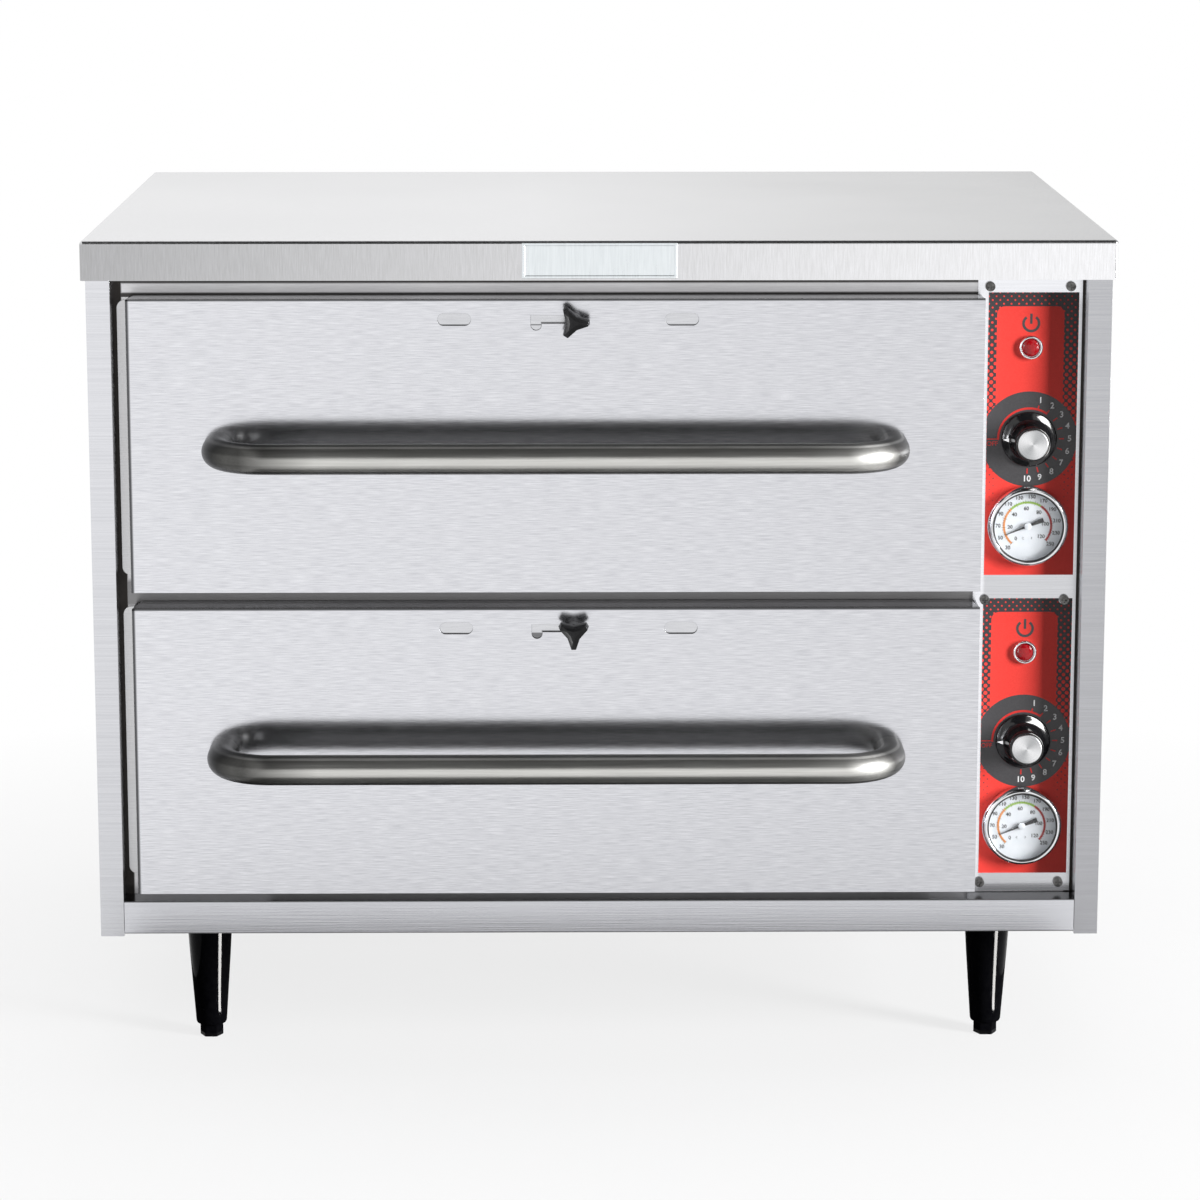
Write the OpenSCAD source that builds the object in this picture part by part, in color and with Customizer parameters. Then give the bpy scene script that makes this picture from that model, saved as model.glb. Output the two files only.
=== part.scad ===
// Free-standing two-drawer food warming cabinet, in millimetres.
// +Z is up, the drawers open towards -Y, and the origin is on the floor under the middle of the whole.
// Inside the modules a point is [x, depth, z], where depth is measured back from the case front.

/* [Case] */
// Width over the two side panels
case_w = 749; // [735:1:850]
// Depth from the front flanges to the back face of the back panel
case_d = 502; // [496:1:620]
// Thickness of the case sheet
sheet = 1.5; // [1.2:0.1:2]
// How far the top cover stands out past each side panel
top_side_lip = 3.5; // [2.5:0.5:8]
// How far the top cover stands out past the case front and back
top_end_lip = 3; // [2.5:0.5:8]
// Height of the top cover's apron
apron_h = 29; // [24:1:36]
// Width of the side panels' front flanges
flange_w = 17.5; // [14:0.5:24]
// Height of the rail under the drawers
rail_h = 25; // [20:1:40]
// How far the side panels hang below that rail
rail_lift = 2; // [2:0.5:6]
// Depth of the face frame behind the case front
recess = 22; // [18:1:30]
// Width of the inward flanges at the back and bottom of the side panels
inner_flange = 20; // [16:1:26]
// Size of the nameplate on the apron: width
plate_w = 113; // [60:1:160]
// Size of the nameplate on the apron: height
plate_h = 26; // [16:1:27]
// Thickness of the nameplate
plate_t = 1.2; // [0.8:0.1:2]

/* [Legs] */
// Floor to the bottom edge of the side panels
leg_h = 102; // [80:1:160]
// Distance of the leg centres from the sides of the case
leg_inset_x = 74.5; // [50:0.5:110]
// Distance of the leg centres from the front and back of the case
leg_inset_d = 75; // [50:1:110]
// Diameter of a leg at the top
leg_top_d = 37; // [32:0.5:50]
// Diameter of a leg at its lower end
leg_low_d = 23.5; // [20:0.5:28]
// Height of a foot's hexagon
foot_h = 10; // [8:0.5:16]
// Width of a foot's hexagon across its corners
foot_d = 18; // [15:0.5:20]
// Diameter of a foot's screw stem
stem_d = 9; // [7:0.5:10]
// Length of a foot's screw stem
stem_l = 42; // [36:1:52]
// Diameter of the studs that hold the legs to the base
stud_d = 10; // [8:0.5:12]

/* [Drawer bays] */
// Gap between the bottom rail and the lower drawer front
bottom_gap = 8; // [5:0.5:14]
// Height of a drawer front
front_h = 218; // [212:1:260]
// Gap between the two drawer fronts
drawer_gap = 12; // [8:0.5:20]
// Gap between the upper drawer front and the apron
top_gap = 13; // [8:0.5:20]
// Gap between the left flange and the drawer fronts
left_gap = 12; // [9:0.5:18]
// Width of the control bay, from the drawer fronts to the right flange
control_bay_w = 76; // [74:0.5:84]
// How far the drawer fronts stand out past the case front
front_proud = 7.5; // [4:0.5:14]
// Gap behind a closed drawer front
seat_gap = 1; // [0.6:0.1:2]
// Thickness of the drawer front's sheet
front_sheet = 1.2; // [1:0.1:1.6]
// Thickness of the cavity liners' sheet
liner_sheet = 1.2; // [0.8:0.1:1.5]
// How far a drawer front laps past its liner at each side
lap_side = 18; // [14:0.5:19]
// How far a drawer front laps past its liner at the bottom
lap_low = 13; // [10:0.5:14]
// How far a drawer front laps past its liner at the top
lap_high = 9; // [7:0.5:10]
// Space between a liner's back and the back panel
back_space = 59.5; // [40:0.5:70]
// Thickness of the insulation boards
board_t = 25; // [15:1:26]
// Thickness of the insulation board beside the control bay
bay_board_t = 18; // [12:1:20]

/* [Handles] */
// Overall width of a handle
handle_w = 516; // [300:1:560]
// Outer diameter of the handle tube
handle_od = 22.2; // [18:0.1:26]
// Wall of the handle tube
handle_wall = 2; // [1.2:0.1:3]
// Distance from the drawer front to the middle of the bar
handle_standoff = 52; // [48:1:80]
// Bend radius at the middle of the tube
handle_bend = 38; // [32:1:46]
// Diameter of the bolts that hold a handle
bolt_d = 6; // [5:0.5:8]

/* [Vents] */
// Place of the middle between the two vent slots, right of the drawer's middle
vent_mid = 9; // [0:0.5:14]
// Distance between the centres of the two vent slots
vent_pitch = 166; // [160:1:200]
// Width of a vent slot
vent_w = 24.5; // [18:0.5:25]
// Height of a vent slot
vent_h = 9; // [6:0.5:11]
// Distance of the vents below the top of a drawer front
vent_drop = 15; // [14:0.5:20]
// Travel of the vent slider
vent_travel = 27; // [26:0.5:32]
// Place of the knob's stud with the vents shut, right of the drawer's middle
vent_stud_x = 12.7; // [8:0.1:16]
// Diameter of that stud
vent_stud_d = 5; // [4:0.5:6]
// Reach of the three-armed vent knob from its middle to a tip
vent_knob_r = 12.5; // [10:0.5:16]
// How far the vent knob stands out from the drawer front
vent_knob_h = 25; // [20:0.5:32]

/* [Carriage and pan] */
// Space between the pan's rim and the carriage at each side
pan_side = 15.3; // [15.3:0.1:40.3]
// Depth of the pan, front to back, over its rim
pan_d = 325; // [280:1:325]
// Space between the heating element and the pan's floor
element_gap = 17; // [13:0.5:92]
// Width of the pan's rim
pan_rim = 12; // [10:0.5:14]
// Thickness of the pan's sheet
pan_t = 1; // [0.8:0.1:1.5]
// Corner radius of the pan's body
pan_r = 25; // [20:1:60]
// Distance from the back of a drawer front to the pan's rim
pan_start = 10.2; // [8:0.1:14]
// Space above the pan's rim inside the liner
rim_head = 18.8; // [16:0.1:24]
// Thickness of the carriage sheet
carriage_t = 1.5; // [1.2:0.1:2]
// Space between the carriage's end and the liner's back
carriage_gap = 22; // [20:0.5:28]

/* [Roller slides] */
// Diameter of the rollers
roller_d = 22; // [18:0.5:24]
// Width of the rollers
roller_w = 8; // [6:0.5:9]
// Diameter of the roller pins
pin_d = 6; // [5:0.5:7]
// Distance of the roller centres below the pan's rim
roller_drop = 30; // [26:0.5:34]
// Place of the front rollers behind the face frame
front_roller_back = 20; // [16:0.5:22]
// Place of the rear rollers before the carriage's back end
rear_roller_lead = 13; // [12.5:0.5:18]
// Space between liner wall and carriage for the track and rollers
slide_space = 12; // [11.5:0.1:14]

/* [Controls] */
// Width of the printed overlay
overlay_w = 66.5; // [60:0.5:68]
// How much lower a printed overlay is than a drawer front
overlay_trim = 6; // [6:0.5:18]
// Thickness of a printed overlay
overlay_t = 0.5; // [0.3:0.1:0.8]
// Height of the overlay's middle above the middle of its bay
overlay_rise = 3.75; // [2:0.25:4]
// Distance of the lamp below the top of its bay
lamp_drop = 40; // [33:0.5:49]
// Diameter of the lamp's bezel
lamp_d = 18; // [14:0.5:22]
// Diameter of the lamp's lens
lens_d = 13; // [9:0.5:14]
// Height of the thermostat shaft above the middle of its bay
dial_rise = 0.5; // [-2:0.5:3]
// Diameter of the thermostat knob's skirt
knob_d = 41; // [34:0.5:46]
// How far the knob stands out from the overlay
knob_h = 26; // [20:0.5:32]
// Diameter of the knob's metal cap
cap_d = 22.5; // [16:0.5:24]
// Diameter of the thermostat shaft
shaft_d = 6; // [5:0.5:7]
// Height and width of the thermostat's body
thermostat_w = 42; // [34:0.5:44]
// Depth of the thermostat's body
thermostat_d = 34; // [30:1:40]
// Height of the gauge above the bottom of its bay
gauge_lift = 44.5; // [41:0.5:46]
// Diameter of the gauge's bezel
gauge_d = 60; // [52:0.5:62]
// How far the gauge stands out from the overlay
gauge_h = 9.5; // [8:0.5:14]
// Diameter of the gauge's body behind the panel
gauge_body_d = 46; // [40:0.5:47]
// Angle of the gauge pointer, clockwise from the top
pointer_angle = 248; // [221:1:489]
// Diameter of the panel and back screws' heads
screw_head_d = 7.2; // [6:0.1:8]
// Diameter of the screws' shanks
screw_d = 4; // [3:0.1:4.5]

/* [Heating] */
// Diameter of the heating element's rod
element_d = 8; // [6:0.5:10]
// Height of the element's middle above the liner floor
element_lift = 14.8; // [12:0.1:18]
// Distance between the element's runs
element_pitch = 80; // [60:1:84]
// Diameter of the cord gland's bore
gland_bore = 11; // [8:0.5:13]
// Diameter of the cord gland's flange
gland_d = 30; // [28:0.5:36]

/* [Hidden] */
$fn = 64;

LOWER = 0;
UPPER = 1;
LEVELS = [LOWER, UPPER];
SIDES = [-1, 1];

// Clearances: loose fit, running fit of a shaft, and how far a cut runs past a face
fit = 0.3;
run = 0.05;
past = 1;

// Colours
STEEL = "#c9ccce";
DARK_STEEL = "#8d9093";
BLACK = "#1d1d1f";
RED = "#d8352a";
WOOL = "#c7b98f";

// Heights
base_z = leg_h + rail_lift;
rail_z = base_z + rail_h;
top_z = rail_z + bottom_gap + 2 * front_h + drawer_gap + top_gap + apron_h;
apron_z = top_z - apron_h;
function bay_z(level) = rail_z + bottom_gap + front_h / 2 + level * (front_h + drawer_gap);

// Widths
case_x = case_w / 2;
inner_x = case_x - sheet;
flange_x = case_x - flange_w;
front_x0 = -flange_x + left_gap;
front_x1 = flange_x - control_bay_w;
drawer_x = (front_x0 + front_x1) / 2;

// Depths from the case front
handle_reach = front_proud + handle_standoff + handle_od / 2;
total_d = handle_reach + case_d + top_end_lip;
front_y = handle_reach - total_d / 2;
face_d = -front_proud;
liner_flange_d = recess - liner_sheet;
front_back_d = liner_flange_d - seat_gap;
panel_d = recess - sheet;
overlay_d = panel_d - overlay_t;
frame_back_d = recess + sheet;
back_d = case_d - sheet;

// Handles: place of the legs, and length of the plugs in their ends
handle_leg_x = (handle_w - handle_od) / 2;
handle_plug = 12;

// Liners: outside sizes, and the insides that the slides stand on
liner_x0 = front_x0 + lap_side;
liner_x1 = front_x1 - lap_side;
liner_back_d = back_d - back_space;
liner_flange_z = 5;
liner_flange_right = 9;
liner_flange_gap = 2.5;
liner_flange_r = 6;
wall_half = (liner_x1 - liner_x0) / 2 - liner_sheet;
function liner_z0(level) = bay_z(level) - front_h / 2 + lap_low;
function liner_z1(level) = bay_z(level) + front_h / 2 - lap_high;
function floor_z(level) = liner_z0(level) + liner_sheet;

// Carriage, rollers and pan, across from the drawer's middle
rail_half = wall_half - slide_space;
web_half = rail_half - carriage_t;
pan_clear = 3;
pan_d0 = front_back_d + pan_start;
pan_mid_d = pan_d0 + pan_d / 2;
pan_w = 2 * (web_half - pan_side);
pan_h = liner_z1(LOWER) - liner_z0(LOWER) - 2 * liner_sheet - rim_head + pan_t
    - element_lift - element_d / 2 - element_gap;
body_w = pan_w - 2 * pan_rim;
body_d = pan_d - 2 * pan_rim;
carriage_end_d = liner_back_d - liner_sheet - carriage_gap;
roller_half = wall_half - sheet - (slide_space - sheet) / 2;
pin_head_d = pin_d + 3;
pin_head_t = 1.2;
front_roller_d = recess + front_roller_back;
rear_roller_d = carriage_end_d - rear_roller_lead;
function rim_z(level) = liner_z1(level) - liner_sheet - rim_head;
function roller_z(level) = rim_z(level) - roller_drop;
lip_rise = roller_d / 2 + fit;
track_top_rise = lip_rise + carriage_t + fit;

// Controls: how the panel and overlay stand to the drawer fronts, the right flange, rail and apron
control_inset = 39;
panel_lap = 2.5;
panel_side_gap = 1.5;
panel_end_gap = 0.7;
overlay_margin = 4;
screw_inset = 8.8;
screw_row_inset = 7;
control_x = flange_x - control_inset;
panel_x0 = front_x1 - panel_lap;
panel_x1 = flange_x - panel_side_gap;
panel_z0 = rail_z + panel_end_gap;
panel_z1 = apron_z - panel_end_gap;
overlay_x0 = flange_x - overlay_margin - overlay_w;
screw_x = [panel_x0 + screw_inset, panel_x1 - screw_inset];
screw_z = [panel_z0 + screw_row_inset, bay_z(LOWER) + front_h / 2, panel_z1 - screw_row_inset];
screw_head_h = 2.5;
screw_l = 10;
bay_opening = 48;
bay_opening_trim = 28;
bay_opening_h = front_h - bay_opening_trim;
overlay_h = front_h - overlay_trim;
function dial_z(level) = bay_z(level) + dial_rise;
function lamp_z(level) = bay_z(level) + front_h / 2 - lamp_drop;
function gauge_z(level) = bay_z(level) - front_h / 2 + gauge_lift;
function overlay_z(level) = bay_z(level) + overlay_rise;

// Gauge, measured out from the overlay
gauge_wall = 2.2;
gauge_floor = 1.5;
gauge_lip = 1.5;
gauge_glass_t = 1.2;
gauge_dial_t = 0.8;
gauge_inner_d = gauge_d - 2 * gauge_wall;
gauge_depth = 22;
spindle_d = 2;
pointer_h = 3.6;

// Knobs
knob_lift = 0.5;
cap_t = 1.6;
shaft_reach = 24;
lamp_h = 4;
lamp_barrel_d = lens_d - 1;
lamp_barrel_l = 26;

// Vents
vent_x = [for (s = SIDES) drawer_x + vent_mid + s * vent_pitch / 2];
stud_x = drawer_x + vent_stud_x;
vent_slot_h = 6;
vent_hook_w = 8;
slider_t = 1.2;
slider_h = 22;
slider_d = face_d + front_sheet + fit;
stud_reach = 17.5;
vent_knob_turn = [30, 0];
guide_lip = 3;
guide_t = 1.2;
function vent_z(level) = bay_z(level) + front_h / 2 - vent_drop;

// Heating element: four runs across the liner floor
element_side = 63.8;
element_half = wall_half - element_side;
element_end = 19;
element_start = 68;
element_x0 = drawer_x - element_half;
element_x1 = drawer_x + element_half;
element_end_x = liner_x1 + bay_board_t + element_end;
element_d0 = recess + element_start;
element_runs = [for (i = [0:3]) element_d0 + i * element_pitch];
element_hole = element_d + 2 * fit;
bracket_half = 145;
bracket_t = 2;
bracket_margin = 14;
bracket_x = [for (s = SIDES) drawer_x + s * bracket_half];
function element_z(level) = floor_z(level) + element_lift;

// Sensor lines from the thermostat and gauge of each bay to a bulb in its cavity
capillary_d = 2.4;
bulb_d = 6;
bulb_l = 80;
bulb_gap = 4;
bulb_bend = 6;
line_bend = 12;
line_turn = 84;
line_turn_d = recess + line_turn;
line_hole = capillary_d + 2 * fit;
bulb_x = liner_x1 - liner_sheet - bulb_gap - bulb_d / 2;

// Legs and feet
leg_x = case_x - leg_inset_x;
leg_depths = [leg_inset_d, case_d - leg_inset_d];
boss_d = stud_d + 14;
boss_h = 10;

// Back panel: rows of screws, and cooling slots behind the control bay
back_screw_x = inner_x - inner_flange / 2;
back_screw_low = 30;
back_screw_high = 50;
back_screw_gap = (top_z - base_z - back_screw_low - back_screw_high) / 3;
back_screw_z = [for (i = [0:3]) base_z + back_screw_low + i * back_screw_gap];
louvre_count = 8;
louvre_l = 56;
louvre_h = 6;
louvre_pitch = 16;

// Cord gland and terminal block
gland_rise = 56;
gland_z = base_z + gland_rise;
gland_flange = 2.5;
gland_thread_d = gland_bore + 7;
gland_l = 20;

// Moves the depth coordinates to the common frame
module place() translate([0, front_y, 0]) children();

// Box between two corner points
module slab(a, b) translate(a) cube(b - a);

// Round bars along X, along the depth and along Z
module rod_x(x0, x1, d, z, dia) translate([x0, d, z]) rotate([0, 90, 0]) cylinder(h = x1 - x0, d = dia);
module rod_d(x, d0, d1, z, dia) translate([x, d0, z]) rotate([-90, 0, 0]) cylinder(h = d1 - d0, d = dia);
module rod_z(x, d, z0, z1, dia) translate([x, d, z0]) cylinder(h = z1 - z0, d = dia);

// Part of a level ring of round bar, for the bends of a tube
module bend(x, d, z, radius, dia, start, angle)
    translate([x, d, z]) rotate([0, 0, start]) rotate_extrude(angle = angle)
        translate([radius, 0]) circle(d = dia);

// Rectangle with round corners, about its middle
module rounded(w, h, r) {
    square([w - 2 * r, h], center = true);
    square([w, h - 2 * r], center = true);
    for (x = SIDES, y = SIDES) translate([x * (w / 2 - r), y * (h / 2 - r)]) circle(r = r);
}

// Upright plate with round corners, from depth d0 to d1
module rounded_plate(x0, x1, z0, z1, d0, d1, r)
    translate([(x0 + x1) / 2, d1, (z0 + z1) / 2]) rotate([90, 0, 0])
        linear_extrude(d1 - d0) rounded(x1 - x0, z1 - z0, r);

// Long hole with round ends, from depth d0 to d1
module long_hole(x, z, w, h, d0, d1) {
    slab([x - (w - h) / 2, d0, z - h / 2], [x + (w - h) / 2, d1, z + h / 2]);
    for (s = SIDES) rod_d(x + s * (w - h) / 2, d0, d1, z, h);
}

// Turned shape that stands out towards the front, from a point on its seat
module turned(x, d, z) translate([x, d, z]) rotate([90, 0, 0]) rotate_extrude() children();

// Screw with a cross recess: head in front of depth d, shank behind it
module cross_screw(x, d, z, head_h) {
    recess_w = 0.9;
    recess_l = screw_head_d * 0.6;
    difference() {
        rod_d(x, d - head_h, d, z, screw_head_d);
        slab([x - recess_l / 2, d - head_h - past, z - recess_w / 2],
             [x + recess_l / 2, d - head_h / 2, z + recess_w / 2]);
        slab([x - recess_w / 2, d - head_h - past, z - recess_l / 2],
             [x + recess_w / 2, d - head_h / 2, z + recess_l / 2]);
    }
    rod_d(x, d, d + screw_l, z, screw_d);
}

// Folded lid that hangs over the case on all four sides
module top_cover() color(STEEL) place() {
    x = case_x + top_side_lip;
    difference() {
        slab([-x, -top_end_lip, apron_z], [x, case_d + top_end_lip, top_z]);
        slab([-x + sheet, sheet - top_end_lip, apron_z - past],
             [x - sheet, case_d + top_end_lip - sheet, top_z - sheet]);
    }
}

// Side panel with its front flange, the flange's return, and inward flanges at back and bottom
module side_panel(side) color(STEEL) place() mirror([side > 0 ? 1 : 0, 0, 0]) difference() {
    union() {
        slab([-case_x, 0, leg_h], [-inner_x, back_d, top_z - sheet]);
        slab([-case_x, 0, leg_h], [-flange_x, sheet, top_z - sheet]);
        slab([-flange_x - sheet, 0, leg_h], [-flange_x, recess, top_z - sheet]);
        slab([-case_x, back_d - sheet, leg_h], [-inner_x + inner_flange, back_d, top_z - sheet]);
        slab([-case_x, frame_back_d + fit, base_z - sheet], [-inner_x + inner_flange, back_d, base_z]);
    }
    for (z = back_screw_z) rod_d(-back_screw_x, back_d - 2 * sheet, case_d, z, screw_d + 2 * run);
}

// Floor of the case with its front rail, the rail's ledge, a rear upstand and bosses for the legs
module base_pan() color(STEEL) place() difference() {
    rail_x = flange_x - fit;
    union() {
        slab([-rail_x, 0, base_z], [rail_x, recess, base_z + sheet]);
        slab([-inner_x, recess, base_z], [inner_x, back_d - sheet, base_z + sheet]);
        slab([-rail_x, 0, base_z], [rail_x, sheet, rail_z]);
        slab([-rail_x, 0, rail_z - sheet], [rail_x, recess, rail_z]);
        slab([-inner_x + inner_flange + fit, back_d - sheet, base_z],
             [inner_x - inner_flange - fit, back_d, rail_z]);
        for (x = SIDES, d = leg_depths) rod_z(x * leg_x, d, base_z, base_z + sheet + boss_h, boss_d);
    }
    for (x = SIDES, d = leg_depths)
        rod_z(x * leg_x, d, base_z - past, base_z + sheet + boss_h + past, stud_d + 2 * run);
}

// Back panel with cooling slots behind the control bay and the hole for the cord gland
module back_panel() color(STEEL) place() difference() {
    slab([-case_x + fit, back_d, base_z], [case_x - fit, case_d, top_z - sheet - fit]);
    for (x = SIDES, z = back_screw_z)
        rod_d(x * back_screw_x, back_d - past, case_d + past, z, screw_d + 2 * fit);
    for (i = [0:louvre_count - 1])
        long_hole(control_x, bay_z(UPPER) + (i - (louvre_count - 1) / 2) * louvre_pitch, louvre_l, louvre_h,
                  back_d - past, case_d + past);
    rod_d(control_x, back_d - past, case_d + past, gland_z, gland_thread_d + 2 * fit);
}

// Inner front frame that carries the liners and the control panel
module face_frame() color(DARK_STEEL) place() difference() {
    slab([-inner_x, recess, base_z + sheet], [inner_x, frame_back_d, top_z - sheet - 3]);
    for (level = LEVELS) {
        slab([liner_x0 - fit, recess - past, liner_z0(level) - fit],
             [liner_x1 + fit, frame_back_d + past, liner_z1(level) + fit]);
        slab([control_x - bay_opening / 2, recess - past, bay_z(level) - bay_opening_h / 2],
             [control_x + bay_opening / 2, frame_back_d + past, bay_z(level) + bay_opening_h / 2]);
    }
    for (x = screw_x, z = screw_z) rod_d(x, recess - past, frame_back_d + past, z, screw_d + 2 * run);
}

// Plate that carries the controls of both drawers
module control_panel() color(STEEL) place() difference() {
    slab([panel_x0, panel_d, panel_z0], [panel_x1, recess, panel_z1]);
    control_holes(panel_d - past, recess + past);
    for (x = screw_x, z = screw_z) rod_d(x, panel_d - past, recess + past, z, screw_d + 2 * fit);
}

// Holes for the lamp, the thermostat shaft and the gauge of both bays
module control_holes(d0, d1) for (level = LEVELS) {
    rod_d(control_x, d0, d1, lamp_z(level), lamp_barrel_d + 2 * fit);
    rod_d(control_x, d0, d1, dial_z(level), shaft_d + 3);
    rod_d(control_x, d0, d1, gauge_z(level), gauge_body_d + 2 * fit);
}

// Printed sheet on the control panel, cut round the screw heads
module overlay(level) color(RED) place() difference() {
    slab([overlay_x0, overlay_d, overlay_z(level) - overlay_h / 2],
         [overlay_x0 + overlay_w, panel_d, overlay_z(level) + overlay_h / 2]);
    control_holes(overlay_d - past, panel_d + past);
    for (x = screw_x, z = screw_z) rod_d(x, overlay_d - past, panel_d + past, z, screw_head_d + 2 * fit);
}

// Lining of one drawer's cavity: a box open at the front, with a flange on the face frame
module cavity_liner(level) color(STEEL) place() difference() {
    union() {
        slab([liner_x0, liner_flange_d, liner_z0(level)], [liner_x1, liner_back_d, liner_z1(level)]);
        rounded_plate(-flange_x + liner_flange_gap, liner_x1 + liner_flange_right,
                      liner_z0(level) - liner_flange_z, liner_z1(level) + liner_flange_z,
                      liner_flange_d, recess, liner_flange_r);
    }
    slab([liner_x0 + liner_sheet, liner_flange_d - past, floor_z(level)],
         [liner_x1 - liner_sheet, liner_back_d - liner_sheet, liner_z1(level) - liner_sheet]);
    bay_wall_holes(level);
}

// Holes in the wall between cavity and control bay, for the element's ends and the sensor lines
module bay_wall_holes(level) {
    x0 = liner_x1 - liner_sheet - past;
    x1 = liner_x1 + bay_board_t + past;
    for (d = [element_runs[0], element_runs[3]]) rod_x(x0, x1, d, element_z(level), element_hole);
    for (z = [dial_z(level), gauge_z(level)]) rod_x(x0, x1, line_turn_d, z, line_hole);
}

// Mineral-wool boards laid against the liners
module insulation_boards() color(WOOL) place() {
    x0 = liner_x0 - board_t;
    x1 = liner_x1 + bay_board_t;
    d0 = frame_back_d + fit;
    z0 = liner_z0(LOWER);
    z1 = liner_z1(UPPER);
    slab([x0, d0, z0], [liner_x0, liner_back_d, z1]);
    difference() {
        slab([liner_x1, d0, z0], [x1, liner_back_d, z1]);
        for (level = LEVELS) bay_wall_holes(level);
    }
    slab([x0, liner_back_d, z0 - board_t], [x1, liner_back_d + board_t, z1 + board_t]);
    slab([x0, d0, z0 - board_t], [x1, liner_back_d, z0]);
    slab([x0, d0, z1], [x1, liner_back_d, z1 + board_t]);
    slab([liner_x0, d0, liner_z1(LOWER)], [liner_x1, liner_back_d, liner_z0(UPPER)]);
}

// Tubular heating element bent into four runs, with both ends in the control bay
module heating_element(level) color(DARK_STEEL) place() {
    z = element_z(level);
    r = element_pitch / 2;
    rod_x(element_x0, element_end_x, element_runs[0], z, element_d);
    rod_x(element_x0, element_x1 - r, element_runs[1], z, element_d);
    rod_x(element_x0, element_x1 - r, element_runs[2], z, element_d);
    rod_x(element_x0, element_end_x, element_runs[3], z, element_d);
    for (i = [0, 2]) bend(element_x0, element_runs[i] + r, z, r, element_d, 90, 180);
    bend(element_x1 - r, element_runs[1] + r, z, r, element_d, -90, 180);
}

// Strips on the liner floors that the elements are threaded through
module element_brackets() color(STEEL) place() for (level = LEVELS, x = bracket_x) difference() {
    slab([x, element_runs[0] - bracket_margin, floor_z(level)],
         [x + bracket_t, element_runs[3] + bracket_margin, element_z(level) + element_hole / 2 + 3]);
    for (d = element_runs) rod_x(x - past, x + bracket_t + past, d, element_z(level), element_hole);
}

// Thermostat bodies behind the panel, each with the bore that its knob's shaft turns in
module thermostats() color(DARK_STEEL) place() for (level = LEVELS) {
    half = thermostat_w / 2;
    z = dial_z(level);
    difference() {
        union() {
            slab([control_x - half, recess, z - half], [control_x + half, recess + thermostat_d, z + half]);
            for (dx = [-12, 12], dz = [-10, 10])
                slab([control_x + dx - 3, recess + thermostat_d, z + dz - 0.4],
                     [control_x + dx + 3, recess + thermostat_d + 9, z + dz + 0.4]);
        }
        rod_d(control_x, recess - past, recess + shaft_reach + fit, z, shaft_d + 2 * run);
    }
}

// Lamp bezels: a bright ring with a barrel through the panel
module lamp_bezels() color(STEEL) place() for (level = LEVELS) difference() {
    union() {
        rod_d(control_x, overlay_d - lamp_h, overlay_d, lamp_z(level), lamp_d);
        rod_d(control_x, overlay_d, overlay_d + lamp_barrel_l, lamp_z(level), lamp_barrel_d);
    }
    rod_d(control_x, overlay_d - lamp_h - past, overlay_d - lamp_h / 4, lamp_z(level), lens_d + 2 * run);
}

// Lamp lenses, seated in the bezels and domed towards the front
module lamp_lenses() color(RED) place() for (level = LEVELS)
    turned(control_x, overlay_d - lamp_h / 4, lamp_z(level))
        polygon([[0, 0], [lens_d / 2, 0], [lens_d / 2, lamp_h], [lens_d / 3, lamp_h + 1.6],
                 [0, lamp_h + 2.2]]);

// Gauge cups with a bright bezel, a body through the panel and a bore for the pointer's spindle
module gauge_cases() color(STEEL) place() for (level = LEVELS) difference() {
    z = gauge_z(level);
    union() {
        rod_d(control_x, overlay_d - gauge_h, overlay_d, z, gauge_d);
        rod_d(control_x, overlay_d, overlay_d + gauge_depth, z, gauge_body_d);
    }
    rod_d(control_x, overlay_d - gauge_h + gauge_lip, overlay_d - gauge_floor, z, gauge_inner_d);
    rod_d(control_x, overlay_d - gauge_h - past, overlay_d - gauge_floor, z, gauge_inner_d - 2 * gauge_lip);
    rod_d(control_x, overlay_d - gauge_floor - past, overlay_d + gauge_depth / 2, z, spindle_d + 2 * run);
}

// Printed discs on the floor of the gauge cups
module gauge_dials() color("white") place() for (level = LEVELS) difference() {
    d1 = overlay_d - gauge_floor;
    rod_d(control_x, d1 - gauge_dial_t, d1, gauge_z(level), gauge_inner_d - 2 * fit);
    rod_d(control_x, d1 - gauge_dial_t - past, d1 + past, gauge_z(level), spindle_d + 2 * fit);
}

// Glass discs behind the bezels' lips
module gauge_glasses() color("lightblue", 0.4) place() for (level = LEVELS) {
    d0 = overlay_d - gauge_h + gauge_lip;
    rod_d(control_x, d0, d0 + gauge_glass_t, gauge_z(level), gauge_inner_d - 2 * fit);
}

// Gauge pointer with its hub, counterweight and spindle
module gauge_pointer(level) color(BLACK) place() {
    hub_d = 5;
    tip = gauge_inner_d / 2 - 6;
    tail = 12;
    d1 = overlay_d - pointer_h;
    z = gauge_z(level);
    rod_d(control_x, d1 - 1.4, d1, z, hub_d);
    rod_d(control_x, d1 - run, overlay_d + gauge_depth / 2 - fit, z, spindle_d);
    translate([control_x, d1, z]) rotate([0, pointer_angle, 0]) rotate([90, 0, 0]) linear_extrude(0.8) {
        polygon([[-0.9, 0], [0.9, 0], [0.25, tip], [-0.25, tip]]);
        translate([-1.7, -tail]) square([3.4, tail]);
    }
}

// Screws of the control panel, shared by the panel and the face frame
module panel_screws() color(STEEL) place()
    for (x = screw_x, z = screw_z) cross_screw(x, panel_d, z, screw_head_h);

// Screws that hold the back panel to the side panels, heads outwards
module back_screws() color(STEEL) place() for (x = SIDES, z = back_screw_z)
    translate([x * back_screw_x, case_d, z]) rotate([0, 0, 180]) cross_screw(0, 0, 0, 2);

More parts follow.
